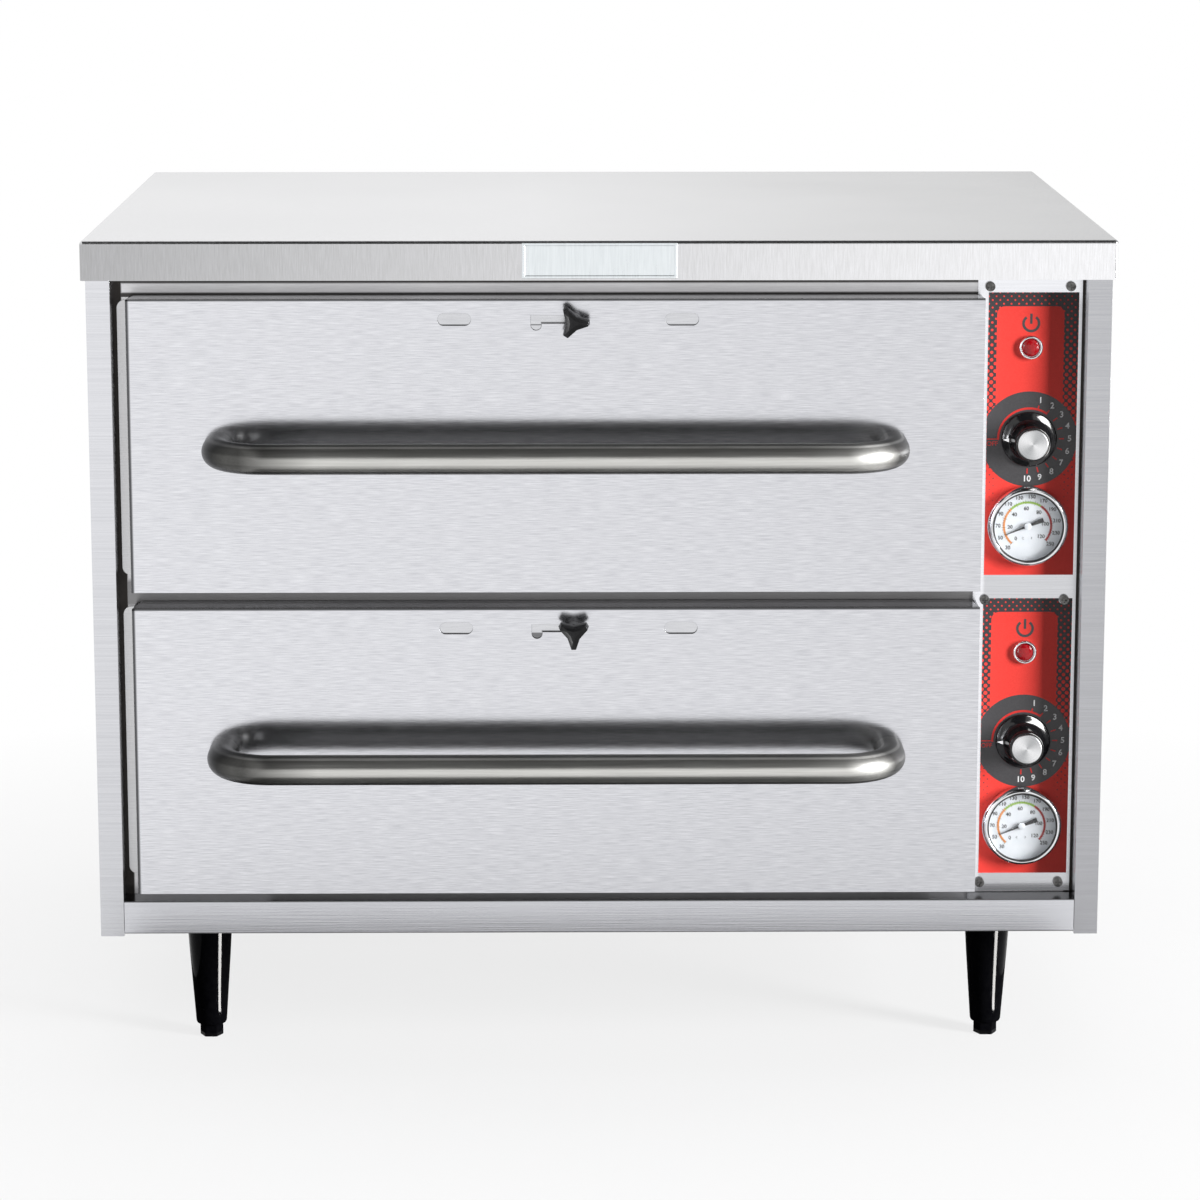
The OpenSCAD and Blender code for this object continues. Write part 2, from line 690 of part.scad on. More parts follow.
// Bare plate with a raised rim on the apron
module nameplate() color("#c4ccd6") place() {
    rim = 2;
    z0 = apron_z + (apron_h - plate_h) / 2;
    d1 = -top_end_lip;
    difference() {
        slab([-plate_w / 2, d1 - plate_t, z0], [plate_w / 2, d1, z0 + plate_h]);
        slab([rim - plate_w / 2, d1 - plate_t - past, z0 + rim],
             [plate_w / 2 - rim, d1 - plate_t / 2, z0 + plate_h - rim]);
    }
}

// Tapered legs with a stud into the base and a bore for the foot's screw
module leg_sleeves() color(BLACK) place() for (x = SIDES, d = leg_depths) difference() {
    union() {
        translate([x * leg_x, d, foot_h])
            cylinder(h = base_z - foot_h, d1 = leg_low_d, d2 = leg_top_d);
        rod_z(x * leg_x, d, base_z - past, base_z + sheet + boss_h, stud_d);
    }
    rod_z(x * leg_x, d, foot_h - past, foot_h + stem_l + fit, stem_d + 2 * run);
}

// Hexagonal foot on a screw stem
module foot(side, row) color(BLACK) place() {
    d = leg_depths[row];
    translate([side * leg_x, d, 0]) cylinder(h = foot_h, d = foot_d, $fn = 6);
    rod_z(side * leg_x, d, foot_h / 2, foot_h + stem_l, stem_d);
}

// Gland for the supply cord: flange outside, thread through the back panel, nut inside
module cord_gland() color(BLACK) place() difference() {
    nut_t = 5;
    union() {
        rod_d(control_x, case_d, case_d + gland_flange, gland_z, gland_d);
        rod_d(control_x, case_d - gland_l, case_d, gland_z, gland_thread_d);
        translate([control_x, back_d - nut_t, gland_z]) rotate([-90, 0, 0])
            cylinder(h = nut_t, d = gland_d, $fn = 6);
    }
    rod_d(control_x, case_d - gland_l - past, case_d + gland_flange + past, gland_z, gland_bore);
}

// Fixed channels on both liner walls, each with the pin of a front roller
module tracks(level) color(STEEL) place() translate([drawer_x, 0, 0]) for (side = SIDES)
    mirror([side > 0 ? 0 : 1, 0, 0]) {
        z = roller_z(level);
        web = wall_half - sheet;
        lip = roller_half - roller_w / 2 + 1;
        low = z - roller_d / 2 - fit;
        high = z + track_top_rise;
        d0 = frame_back_d + 4;
        d1 = liner_back_d - liner_sheet - 8;
        slab([web, d0, low - sheet], [wall_half, d1, high + sheet]);
        slab([lip, d0, low - sheet], [wall_half, d1, low]);
        slab([lip, d0, high], [wall_half, d1, high + sheet]);
        roller_pin(web, -1, front_roller_d, z);
    }

// Pin of a roller from a web towards one side, with a head sunk in the roller's free face
module roller_pin(web, way, d, z) {
    free = roller_half + way * roller_w / 2;
    inner = free - way * (pin_head_t + fit);
    rod_x(min(web, free), max(web, free), d, z, pin_d);
    rod_x(min(inner, free), max(inner, free), d, z, pin_head_d);
}

// Pair of rollers on one line across the drawer; way is the side that the pins come from
module rollers(level, d, way) color("#e4e0d2") place() translate([drawer_x, 0, 0]) for (side = SIDES)
    mirror([side > 0 ? 0 : 1, 0, 0]) difference() {
        z = roller_z(level);
        free = roller_half + way * roller_w / 2;
        deep = free - way * (pin_head_t + 2 * fit);
        rod_x(roller_half - roller_w / 2, roller_half + roller_w / 2, d, z, roller_d);
        rod_x(roller_half - roller_w, roller_half + roller_w, d, z, pin_d + 2 * run);
        rod_x(min(deep, free + way), max(deep, free + way), d, z, pin_head_d + 2 * fit);
    }

// Sensor lines: from each control through the bay wall, ending in a bulb along the liner
module sensor_lines() color("#b87a4b") place() for (level = LEVELS) {
    sensor_line(dial_z(level), recess + thermostat_d);
    sensor_line(gauge_z(level), overlay_d + gauge_depth);
}

// One sensor line at height z, from the back of its control at depth d0
module sensor_line(z, d0) {
    bulb_d0 = line_turn_d + bulb_bend;
    rod_d(control_x, d0, line_turn_d - line_bend, z, capillary_d);
    bend(control_x - line_bend, line_turn_d - line_bend, z, line_bend, capillary_d, 0, 90);
    rod_x(bulb_x + bulb_bend, control_x - line_bend, line_turn_d, z, capillary_d);
    bend(bulb_x + bulb_bend, bulb_d0, z, bulb_bend, capillary_d, 180, 90);
    rod_d(bulb_x, bulb_d0, bulb_d0 + bulb_l, z, bulb_d);
}

// Supply terminals on the case floor, in the control bay
module terminal_block() color("#d9d4c4") place() {
    z0 = base_z + sheet;
    poles = 3;
    pole_w = 14;
    from_back = 160;
    d0 = back_d - from_back;
    difference() {
        slab([control_x - 14, d0, z0], [control_x + 14, d0 + poles * pole_w, z0 + 22]);
        for (i = [0:poles - 1]) slab([control_x - 9, d0 + i * pole_w + 3, z0 + 12],
                                     [control_x + 9, d0 + i * pole_w + 11, z0 + 22 + past]);
    }
}

// Thermostat knob: skirt, tapered grip, seat for the cap and the shaft behind the panel
module thermostat_knob(level) color(BLACK) place() {
    r = knob_d / 2;
    grip = cap_d / 2 + 1.4;
    h = knob_h - knob_lift;
    seat = h - cap_t / 2;
    turned(control_x, overlay_d - knob_lift, dial_z(level))
        polygon([[0, 0], [r, 0], [r, 2.4], [r - 1.6, 3.8], [grip + 1.6, 11], [grip + 0.4, 14], [grip, h],
                 [cap_d / 2 + fit, h], [cap_d / 2 + fit, seat], [0, seat]]);
    rod_d(control_x, overlay_d - knob_lift - past, recess + shaft_reach, dial_z(level), shaft_d);
}

// Turned metal disc on the knob's end, slightly proud of the grip
module knob_cap(level) color(STEEL) place() {
    seat = knob_h - cap_t / 2;
    turned(control_x, overlay_d - seat, dial_z(level))
        polygon([[0, 0], [cap_d / 2, 0], [cap_d / 2, cap_t - 0.4], [cap_d / 2 - 0.6, cap_t],
                 [0, cap_t - 0.3]]);
}

// Outer pan of a drawer front, with vents, the knob's hooked slot and guides for the vent slider
module drawer_front(level) color(STEEL) place() {
    z0 = bay_z(level) - front_h / 2;
    z1 = bay_z(level) + front_h / 2;
    relief = 4.5;
    skin = face_d + front_sheet;
    difference() {
        slab([front_x0, face_d, z0], [front_x1, front_back_d, z1]);
        slab([front_x0 + front_sheet, skin, z0 + front_sheet],
             [front_x1 - front_sheet, front_back_d + past, z1 - front_sheet]);
        for (side = SIDES) translate([drawer_x, 0, z1 - front_sheet]) mirror([side > 0 ? 0 : 1, 0, 0])
            linear_extrude(front_sheet + past) polygon([
                [front_x1 - drawer_x, skin], [front_x1 - drawer_x - relief, front_back_d + past],
                [front_x1 - drawer_x + past, front_back_d + past], [front_x1 - drawer_x + past, skin]]);
        vent_slots(level, face_d - past, skin + past, 0);
        knob_slot(level, face_d - past, skin + past);
        for (side = SIDES) rod_d(drawer_x + side * handle_leg_x, face_d - past, skin + past, bay_z(level),
                                 bolt_d + 2 * fit);
    }
    slider_guides(level, skin);
}

// The two long vent holes of a drawer front, moved right by shift
module vent_slots(level, d0, d1, shift)
    for (x = vent_x) long_hole(x + shift, vent_z(level), vent_w, vent_h, d0, d1);

// Slot that the vent knob's stud travels in, with a hook down at its left end
module knob_slot(level, d0, d1) {
    z = vent_z(level);
    left = stud_x - vent_travel - vent_hook_w / 2;
    drop = 4;
    slab([left, d0, z - vent_slot_h / 2], [stud_x, d1, z + vent_slot_h / 2]);
    rod_d(stud_x, d0, d1, z, vent_slot_h);
    slab([left, d0, z - drop], [left + vent_hook_w, d1, z]);
    rod_d(left + vent_hook_w / 2, d0, d1, z - drop, vent_hook_w);
}

// Folded guides above and below the vent slider, on the inside of the drawer front
module slider_guides(level, skin) {
    x0 = vent_x[0] + vent_w / 2 + 8;
    x1 = vent_x[1] - vent_w / 2 - 8;
    slot = slider_t + 2 * fit;
    for (side = SIDES) translate([0, 0, vent_z(level)]) mirror([0, 0, side > 0 ? 0 : 1]) {
        slab([x0, skin - run, slider_h / 2 + fit], [x1, skin + slot + guide_t, slider_h / 2 + fit + guide_t]);
        slab([x0, skin + slot, slider_h / 2 - guide_lip],
             [x1, skin + slot + guide_t, slider_h / 2 + fit + guide_t]);
    }
}

// Sliding plate behind the drawer front, with the stud for its knob; its holes stand beside the vents
module vent_slider(level) color(STEEL) place() {
    z = vent_z(level);
    margin = vent_w / 2 + 6;
    difference() {
        slab([vent_x[0] - margin, slider_d, z - slider_h / 2],
             [vent_x[1] + vent_travel + margin, slider_d + slider_t, z + slider_h / 2]);
        vent_slots(level, slider_d - past, slider_d + slider_t + past, vent_travel);
    }
    rod_d(stud_x, face_d - stud_reach, slider_d + run, z, vent_stud_d);
}

// Three-armed knob on the slider's stud
module vent_knob(level) color(BLACK) place() {
    tip_r = 2;
    tip_w = 1.8;
    arm = vent_knob_r - tip_r;
    root = 4.6;
    collar_d = 11;
    hub_d = 12;
    arm_t = 11;
    out = vent_knob_h - fit;
    difference() {
        translate([stud_x, face_d - fit, vent_z(level)]) rotate([90, 0, 0]) {
            cylinder(h = out - arm_t, d = collar_d);
            translate([0, 0, out - arm_t]) linear_extrude(arm_t) rotate(vent_knob_turn[level]) {
                circle(d = hub_d);
                for (i = [0:2]) rotate(i * 120) {
                    polygon([[0, -root], [arm, -tip_w], [arm, tip_w], [0, root]]);
                    translate([arm, 0]) circle(r = tip_r);
                }
            }
        }
        rod_d(stud_x, face_d - stud_reach - fit, face_d, vent_z(level), vent_stud_d + 2 * run);
    }
}

// Plate that closes the back of a drawer front, with openings behind the vents
module back_plate(level) color(STEEL) place() difference() {
    edge = front_sheet + fit;
    slab([front_x0 + edge, front_back_d - front_sheet, bay_z(level) - front_h / 2 + edge],
         [front_x1 - edge, front_back_d, bay_z(level) + front_h / 2 - edge]);
    vent_slots(level, front_back_d - front_sheet - past, front_back_d + past, 0);
}

// Handle: bar, two bends and two legs of tube, with plugs for the bolts at the ends
module handle(level) color(STEEL) place() translate([drawer_x, 0, bay_z(level)]) difference() {
    handle_run(handle_od, face_d);
    handle_run(handle_od - 2 * handle_wall, face_d - handle_plug);
    for (side = SIDES)
        rod_d(side * handle_leg_x, face_d - handle_plug - past, face_d + past, 0, bolt_d + 2 * run);
}

// Round bar along the handle's middle line; the legs end at depth end_d
module handle_run(dia, end_d) {
    bar_d = face_d - handle_standoff;
    bar_x = handle_leg_x - handle_bend;
    rod_x(-bar_x, bar_x, bar_d, 0, dia);
    bend(bar_x, bar_d + handle_bend, 0, handle_bend, dia, -90, 90);
    bend(-bar_x, bar_d + handle_bend, 0, handle_bend, dia, 180, 90);
    for (side = SIDES) rod_d(side * handle_leg_x, bar_d + handle_bend, end_d, 0, dia);
}

// Bolts from inside the drawer front into the handle's ends
module handle_bolts(level) color(DARK_STEEL) place() for (side = SIDES) {
    x = drawer_x + side * handle_leg_x;
    skin = face_d + front_sheet;
    head_t = bolt_d * 0.65;
    rod_d(x, face_d - handle_plug + past, skin, bay_z(level), bolt_d);
    translate([x, skin, bay_z(level)]) rotate([-90, 0, 0]) cylinder(h = head_t, d = bolt_d * 1.9, $fn = 6);
}

// Drawer carriage: a ledge all round the pan, side webs with outward lips, and the rear rollers' pins
module carriage(level) color(STEEL) place() translate([drawer_x, 0, 0]) {
    z = rim_z(level);
    zr = roller_z(level);
    low = zr - 9;
    t = carriage_t;
    difference() {
        slab([-rail_half, front_back_d, z - t], [rail_half, carriage_end_d, z]);
        translate([0, pan_mid_d, z - t - past]) linear_extrude(t + 2 * past)
            rounded(body_w + 2 * pan_clear, body_d + 2 * pan_clear, pan_r + pan_clear);
    }
    slab([-rail_half, front_back_d, low], [rail_half, front_back_d + t, z]);
    slab([-rail_half, carriage_end_d - t, low], [rail_half, carriage_end_d, z]);
    for (side = SIDES) mirror([side > 0 ? 0 : 1, 0, 0]) {
        slab([web_half, front_back_d, low], [rail_half, carriage_end_d, z]);
        slab([web_half, front_roller_d - roller_d / 2, zr + lip_rise],
             [roller_half + roller_w / 2, carriage_end_d, zr + lip_rise + t]);
        roller_pin(web_half, 1, rear_roller_d, zr);
    }
}

// Full-size food pan that hangs in the carriage by its rim
module food_pan(level) color(STEEL) place() translate([drawer_x, pan_mid_d, rim_z(level)]) difference() {
    union() {
        linear_extrude(pan_t) rounded(pan_w, pan_d, pan_r + pan_rim);
        translate([0, 0, pan_t - pan_h]) linear_extrude(pan_h) rounded(body_w, body_d, pan_r);
    }
    translate([0, 0, 2 * pan_t - pan_h]) linear_extrude(pan_h)
        rounded(body_w - 2 * pan_t, body_d - 2 * pan_t, pan_r - pan_t);
}

top_cover();
side_panel(-1);  // left_side_panel
side_panel(1);  // right_side_panel
base_pan();
back_panel();
face_frame();
control_panel();
cavity_liner(UPPER);  // upper_cavity_liner
cavity_liner(LOWER);  // lower_cavity_liner
insulation_boards();
heating_element(UPPER);  // upper_heating_element
heating_element(LOWER);  // lower_heating_element
element_brackets();
thermostats();
overlay(UPPER);  // upper_overlay
overlay(LOWER);  // lower_overlay
lamp_bezels();
lamp_lenses();
gauge_cases();
gauge_dials();
gauge_glasses();
panel_screws();
back_screws();
nameplate();
leg_sleeves();
cord_gland();
tracks(UPPER);  // upper_tracks
tracks(LOWER);  // lower_tracks
sensor_lines();
terminal_block();
gauge_pointer(UPPER);  // upper_gauge_pointer
gauge_pointer(LOWER);  // lower_gauge_pointer
thermostat_knob(UPPER);  // upper_thermostat_knob
thermostat_knob(LOWER);  // lower_thermostat_knob
knob_cap(UPPER);  // upper_knob_cap
knob_cap(LOWER);  // lower_knob_cap
foot(-1, 0);  // front_left_foot
foot(1, 0);  // front_right_foot
foot(-1, 1);  // rear_left_foot
foot(1, 1);  // rear_right_foot
rollers(UPPER, front_roller_d, -1);  // upper_front_rollers
rollers(LOWER, front_roller_d, -1);  // lower_front_rollers
rollers(UPPER, rear_roller_d, 1);  // upper_rear_rollers
rollers(LOWER, rear_roller_d, 1);  // lower_rear_rollers
drawer_front(UPPER);  // upper_drawer_front
drawer_front(LOWER);  // lower_drawer_front
back_plate(UPPER);  // upper_back_plate
back_plate(LOWER);  // lower_back_plate
handle(UPPER);  // upper_handle
handle(LOWER);  // lower_handle
handle_bolts(UPPER);  // upper_handle_bolts
handle_bolts(LOWER);  // lower_handle_bolts
carriage(UPPER);  // upper_carriage
carriage(LOWER);  // lower_carriage
food_pan(UPPER);  // upper_food_pan
food_pan(LOWER);  // lower_food_pan
vent_slider(UPPER);  // upper_vent_slider
vent_slider(LOWER);  // lower_vent_slider
vent_knob(UPPER);  // upper_vent_knob
vent_knob(LOWER);  // lower_vent_knob
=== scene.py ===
# %% [markdown]
# # A two-drawer warming cabinet
# This lesson dresses a CAD model of a stainless food-warming cabinet. The CAD parts are loaded as a fixed frame in
# metres; shapes that need soft edges, turned profiles or print are modelled again with bmesh on top of it.

# %% Load the CAD frame
import math

import bmesh
import bpy
from mathutils import Matrix, Vector


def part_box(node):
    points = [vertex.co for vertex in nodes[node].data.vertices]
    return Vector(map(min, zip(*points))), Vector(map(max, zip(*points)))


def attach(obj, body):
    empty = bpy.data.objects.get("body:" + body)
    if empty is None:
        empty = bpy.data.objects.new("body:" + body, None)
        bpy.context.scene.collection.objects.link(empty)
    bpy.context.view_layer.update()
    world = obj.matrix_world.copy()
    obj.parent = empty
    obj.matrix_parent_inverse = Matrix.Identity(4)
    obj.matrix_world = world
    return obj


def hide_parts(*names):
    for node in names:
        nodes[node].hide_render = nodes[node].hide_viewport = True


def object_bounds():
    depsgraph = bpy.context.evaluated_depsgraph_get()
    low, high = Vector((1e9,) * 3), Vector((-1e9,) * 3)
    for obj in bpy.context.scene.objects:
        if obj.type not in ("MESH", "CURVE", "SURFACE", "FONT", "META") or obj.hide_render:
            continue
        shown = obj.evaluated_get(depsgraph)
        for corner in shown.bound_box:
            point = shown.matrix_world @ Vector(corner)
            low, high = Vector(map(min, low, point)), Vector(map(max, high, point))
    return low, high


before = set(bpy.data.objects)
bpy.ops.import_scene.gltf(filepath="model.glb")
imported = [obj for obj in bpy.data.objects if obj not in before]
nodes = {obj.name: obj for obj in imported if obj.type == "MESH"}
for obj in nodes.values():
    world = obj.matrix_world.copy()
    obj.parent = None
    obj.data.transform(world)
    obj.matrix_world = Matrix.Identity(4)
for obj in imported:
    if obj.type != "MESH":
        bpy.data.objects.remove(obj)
cad_box = [list(corner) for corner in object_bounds()]
scene = bpy.context.scene
MM = 0.001
LEVELS = ("upper", "lower")
front_low, front_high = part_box("upper_drawer_front")
lower_front_low, lower_front_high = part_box("lower_drawer_front")
level_step = front_high.z - lower_front_high.z
print("CAD box", cad_box, "with", len(nodes), "nodes")

# %% [markdown]
# ## The camera
# The picture was taken from above the cabinet's top, almost straight on. A long lens far away keeps the fronts
# square; the small shift keeps the uprights nearly parallel without tilting the camera further.

# %% Place the camera
EYE = (-0.0259, -2.9427, 0.9476)
PITCH = math.radians(10.35)
YAW = math.radians(-0.55)
camera_data = bpy.data.cameras.new("front_camera")
camera_data.sensor_width = 36
camera_data.lens = 113
camera_data.shift_y = -0.1
camera = bpy.data.objects.new("front_camera", camera_data)
camera.location = EYE
camera.rotation_euler = (math.pi / 2 - PITCH, 0, YAW)
scene.collection.objects.link(camera)
scene.camera = camera
scene.view_settings.view_transform = "Standard"
print("camera lens", camera_data.lens, "mm")

# %% [markdown]
# ## Small helpers for nodes
# Every finish is a node tree. These helpers add its nodes; an input takes either a plain value or another node's
# socket. The cells below then show only what is special about a finish.

# %% Helpers for node trees
FINISHES = {}


def put(thing, **settings):
    """Sets several properties of a thing and returns it."""
    for key, value in settings.items():
        setattr(thing, key, value)
    return thing


def feed(socket, value):
    """Links another socket to this one, or sets it to a plain value or a colour."""
    if isinstance(value, bpy.types.NodeSocket):
        socket.id_data.links.new(value, socket)
    else:
        socket.default_value = (*value, 1) if socket.type == "RGBA" and len(value) == 3 else value


def add_node(tree, kind, values=None, **settings):
    """Adds a node, sets its properties and then feeds its inputs."""
    made = put(tree.nodes.new(kind), **settings)
    for key, value in (values or {}).items():
        feed(made.inputs[key], value)
    return made


def wire(shader, **values):
    """Feeds a shader's inputs, which are named with underscores for spaces."""
    for key, value in values.items():
        feed(shader.inputs[key.replace("_", " ")], value)


def new_finish(name, **values):
    """A material, kept in FINISHES by its name; returns its tree and its Principled shader."""
    finish = FINISHES[name] = bpy.data.materials.new(name)
    finish.use_nodes = True
    shader = finish.node_tree.nodes["Principled BSDF"]
    wire(shader, **values)
    return finish.node_tree, shader


print("node helpers ready")

# %% [markdown]
# ## The studio
# The cabinet stands on pale paper under soft light. Lamps alone could light it, but polished steel shows whatever
# stands round it, so this studio also has cards, as a photographer's has. Only reflections see them.

# %% Helpers for the studio
def new_object(name, bm):
    """Turns a bmesh into an object at the origin."""
    mesh = bpy.data.meshes.new(name)
    bm.to_mesh(mesh)
    bm.free()
    made = bpy.data.objects.new(name, mesh)
    scene.collection.objects.link(made)
    return made


def aim(place, target):
    """Matrix that puts something at place with its -Z towards target."""
    turn = (Vector(target) - Vector(place)).to_track_quat("-Z", "Y")
    return Matrix.Translation(place) @ turn.to_matrix().to_4x4()


def soft_box(name, place, target, width, height, watts):
    """An area lamp that the camera itself doesn't see."""
    lamp = put(bpy.data.lights.new(name, "AREA"), shape="RECTANGLE", size=width, size_y=height, energy=watts)
    made = put(bpy.data.objects.new(name, lamp), matrix_world=aim(place, target), visible_camera=False)
    scene.collection.objects.link(made)
    return made


def only_mirrored(card, finish):
    """Gives a card its finish and hides it from everything but reflections."""
    card.data.materials.append(FINISHES[finish])
    card.visible_camera = card.visible_diffuse = card.visible_shadow = False
    return card


def mirror_card(name, place, target, width, height, finish):
    """A flat card at a place, turned towards a target, that only reflections see."""
    bm = bmesh.new()
    bmesh.ops.create_grid(bm, x_segments=1, y_segments=1, size=0.5)
    bmesh.ops.scale(bm, vec=(width, height, 1), verts=bm.verts)
    bmesh.ops.transform(bm, matrix=aim(place, target), verts=bm.verts)
    return only_mirrored(new_object(name, bm), finish)


print("studio helpers ready")

# %% [markdown]
# ### Floor and surround
# Paper that runs up behind an object has no visible edge. A bent sheet hides its edge from one side only, so the
# floor is a disc that fades out by its Alpha, in a white world that looks the same from all sides. Light Path makes
# the world white to the camera and in reflections, but weak as a lamp, so that the soft boxes do the lighting.

# %% Helpers: numbers from nodes
def calc(operation, *values):
    """A Math node on sockets and numbers, at least one of them a socket; returns its output."""
    tree = next(value.id_data for value in values if isinstance(value, bpy.types.NodeSocket))
    return add_node(tree, "ShaderNodeMath", dict(enumerate(values)), operation=operation).outputs[0]


def fade(value, low, high, to_low, to_high):
    """Maps a socket from one range to another and holds it there at the ends; returns the output."""
    ends = {0: value, 1: low, 2: high, 3: to_low, 4: to_high}
    return add_node(value.id_data, "ShaderNodeMapRange", ends).outputs[0]


def length(vector):
    """The length of a vector socket."""
    return add_node(vector.id_data, "ShaderNodeVectorMath", {0: vector}, operation="LENGTH").outputs["Value"]


def object_place(tree):
    """The place on the object, in metres, as a socket."""
    return add_node(tree, "ShaderNodeTexCoord").outputs["Object"]


print("number helpers ready")

# %% Floor and surround
FLOOR_NEAR = 0.3
FLOOR_FAR = 1.0
FLOOR_COVER = 0.2
SURROUND_FILL = 0.13
tree, shader = new_finish("studio_floor", Base_Color=(0.88, 0.88, 0.89), Roughness=0.9)
wire(shader, Alpha=fade(length(object_place(tree)), FLOOR_NEAR, FLOOR_FAR, FLOOR_COVER, 0))
bm = bmesh.new()
bmesh.ops.create_circle(bm, cap_ends=True, segments=96, radius=FLOOR_FAR + 0.1)
floor = new_object("studio_floor", bm)
floor.data.materials.append(FINISHES["studio_floor"])

world = bpy.data.worlds.new("studio_surround")
world.use_nodes = True
scene.world = world
ray = add_node(world.node_tree, "ShaderNodeLightPath").outputs
seen = calc("MAXIMUM", ray["Is Camera Ray"], ray["Is Glossy Ray"])
seen = calc("MAXIMUM", seen, ray["Is Transmission Ray"])
wire(world.node_tree.nodes["Background"], Color=(1, 1, 1), Strength=fade(seen, 0, 1, SURROUND_FILL, 1))
print("the floor fades out at", FLOOR_FAR, "m")

# %% [markdown]
# ### Lamps and dark cards
# A tall soft box at the right and a long one overhead light the cabinet. The tubes and rings need dark bands:
# painted ones would stay in place when the view turns, so dark cards above the cabinet, before it and on the floor
# are there to be reflected. On the handle tubes, painted bands of tone are laid over these reflections as well.

# %% Lamps and cards
MIDDLE = (0, -0.1, 0.33)
CARD_WIDTH = 2.4
FLOOR_CARD_WIDTH = 0.77
FLOOR_CARD_Z = 0.003
soft_box("right_box", (2.86, -1.75, 0.95), MIDDLE, 0.75, 1.7, 174)
soft_box("top_box", (0.0, 0.4, 3.0), MIDDLE, 2.4, 0.9, 20).visible_glossy = False
for name, grey in (("dark_card", 0.05), ("grey_card", 0.2)):
    new_finish(name, Base_Color=(grey, grey, grey), Roughness=0.9)
for name, light, strength in (("lit_strip", (1, 0.98, 0.96), 170), ("lit_card", (1, 0.99, 0.98), 34)):
    new_finish(name, Base_Color=(0, 0, 0), Emission_Color=light, Emission_Strength=strength)
mirror_card("ceiling_card", (0, -1.1, 3.3), (0, -1.1, 0), CARD_WIDTH, 4.6, "dark_card")
mirror_card("front_card", (0, -3.4, 2.3), (0, 0, 2.3), CARD_WIDTH, 2.0, "dark_card")
mirror_card("near_floor_card", (0, -0.2, FLOOR_CARD_Z), (0, -0.2, 1), FLOOR_CARD_WIDTH, 0.52, "dark_card")
mirror_card("far_floor_card", (0, -0.51, FLOOR_CARD_Z), (0, -0.51, 1), FLOOR_CARD_WIDTH, 0.1, "grey_card")
print("two lamps and four dark cards")

# %% [markdown]
# ### Lit cards
# Each front leg has a bright line in its gloss, and each knob a glint on its skirt. Two more lamps would light the
# whole cabinet, so small lit cards stand close by instead. Light linking, set where the legs and the knobs are
# made, lets them shine on these pieces only.

# %% Lit cards for the legs and the knobs
def level_boxes(name):
    """Each drawer level's name, with the low and the high corner of its node's box."""
    return [(level, *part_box(f"{level}_{name}")) for level in LEVELS]


LEG_R = 18.5
STRIP_NEAR = 0.03
STRIP_FAR = 0.27
STRIP_SPREAD = 0.3
STRIP_Z = 0.005
STRIP_TURNS = (-30.2, -42.5)
GLINT_WAY = Vector((0.70, -0.61, 0.37)) * 0.25
GLINT_SIZE = (0.15, 0.2)
SKIRT_IN, SKIRT_BACK, SKIRT_UP = 0.006, 0.023, 0.01
low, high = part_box("leg_sleeves")
leg_xs = (low.x + LEG_R * MM, high.x - LEG_R * MM)
leg_ys = (low.y + LEG_R * MM, high.y - LEG_R * MM)
leg_strips = []
for x, turn in zip(leg_xs, STRIP_TURNS):
    placed = Matrix.Translation((x, leg_ys[0], STRIP_Z)) @ Matrix.Rotation(math.radians(turn), 4, "Z")
    bm = bmesh.new()
    wedge = [(STRIP_NEAR, -1), (STRIP_FAR, -1), (STRIP_FAR, 1), (STRIP_NEAR, 1)]
    bm.faces.new([bm.verts.new((out, way * out * STRIP_SPREAD / 2, 0)) for out, way in wedge])
    bmesh.ops.transform(bm, matrix=placed, verts=bm.verts)
    leg_strips.append(only_mirrored(new_object("leg_strip", bm), "lit_strip"))
knob_glints = []
for level, low, high in level_boxes("thermostat_knob"):
    skirt = Vector((high.x - SKIRT_IN, low.y + SKIRT_BACK, (low.z + high.z) / 2 + SKIRT_UP))
    knob_glints.append(mirror_card(f"{level}_glint_card", skirt + GLINT_WAY, skirt, *GLINT_SIZE, "lit_card"))
print(len(leg_strips) + len(knob_glints), "lit cards")

# %% [markdown]
# ## Brushed stainless steel
# The sheets are brushed in one direction: short fine strokes a millimetre apart and some centimetres long. A
# picture of such a sheet would repeat, and blur close by. A noise stretched along the strokes gives their tone,
# their roughness and a slight relief instead; a second, broad noise gives the faint clouds that wiping leaves. Many
# sheets need this, so it is a group that puts out masks only, and each sheet uses it with its own stroke direction.

# %% Helpers: colours, noise and groups
def blend(factor, first, second):
    """Mixes two colours, each a socket or a colour, by a factor socket; returns the output."""
    return add_node(factor.id_data, "ShaderNodeMix", {0: factor, 6: first, 7: second}, data_type="RGBA").outputs[2]


def noise(place, scale, detail, roughness):
    """A Noise Texture read at a place socket; returns its value."""
    values = {"Vector": place, "Scale": scale, "Detail": detail, "Roughness": roughness}
    return add_node(place.id_data, "ShaderNodeTexNoise", values).outputs[0]


def bumped(height, strength, distance):
    """A Bump node on a height socket; returns its normal."""
    values = {"Height": height, "Strength": strength, "Distance": distance}
    return add_node(height.id_data, "ShaderNodeBump", values).outputs[0]


def new_group(name, control, outputs):
    """A shader group that reads a place and one control; returns its tree, its inputs and its outputs."""
    tree = bpy.data.node_groups.new(name, "ShaderNodeTree")
    for label, kind, value in (("Vector", "NodeSocketVector", (0, 0, 0)), control):
        tree.interface.new_socket(label, in_out="INPUT", socket_type=kind).default_value = value
    for label in outputs:
        tree.interface.new_socket(label, in_out="OUTPUT", socket_type="NodeSocketFloat")
    return tree, tree.nodes.new("NodeGroupInput").outputs, tree.nodes.new("NodeGroupOutput").inputs


def use_group(tree, group, **control):
    """A group's masks, read at the place on the object."""
    values = {"Vector": object_place(tree), **control}
    return add_node(tree, "ShaderNodeGroup", values, node_tree=group).outputs


print("group helpers ready")

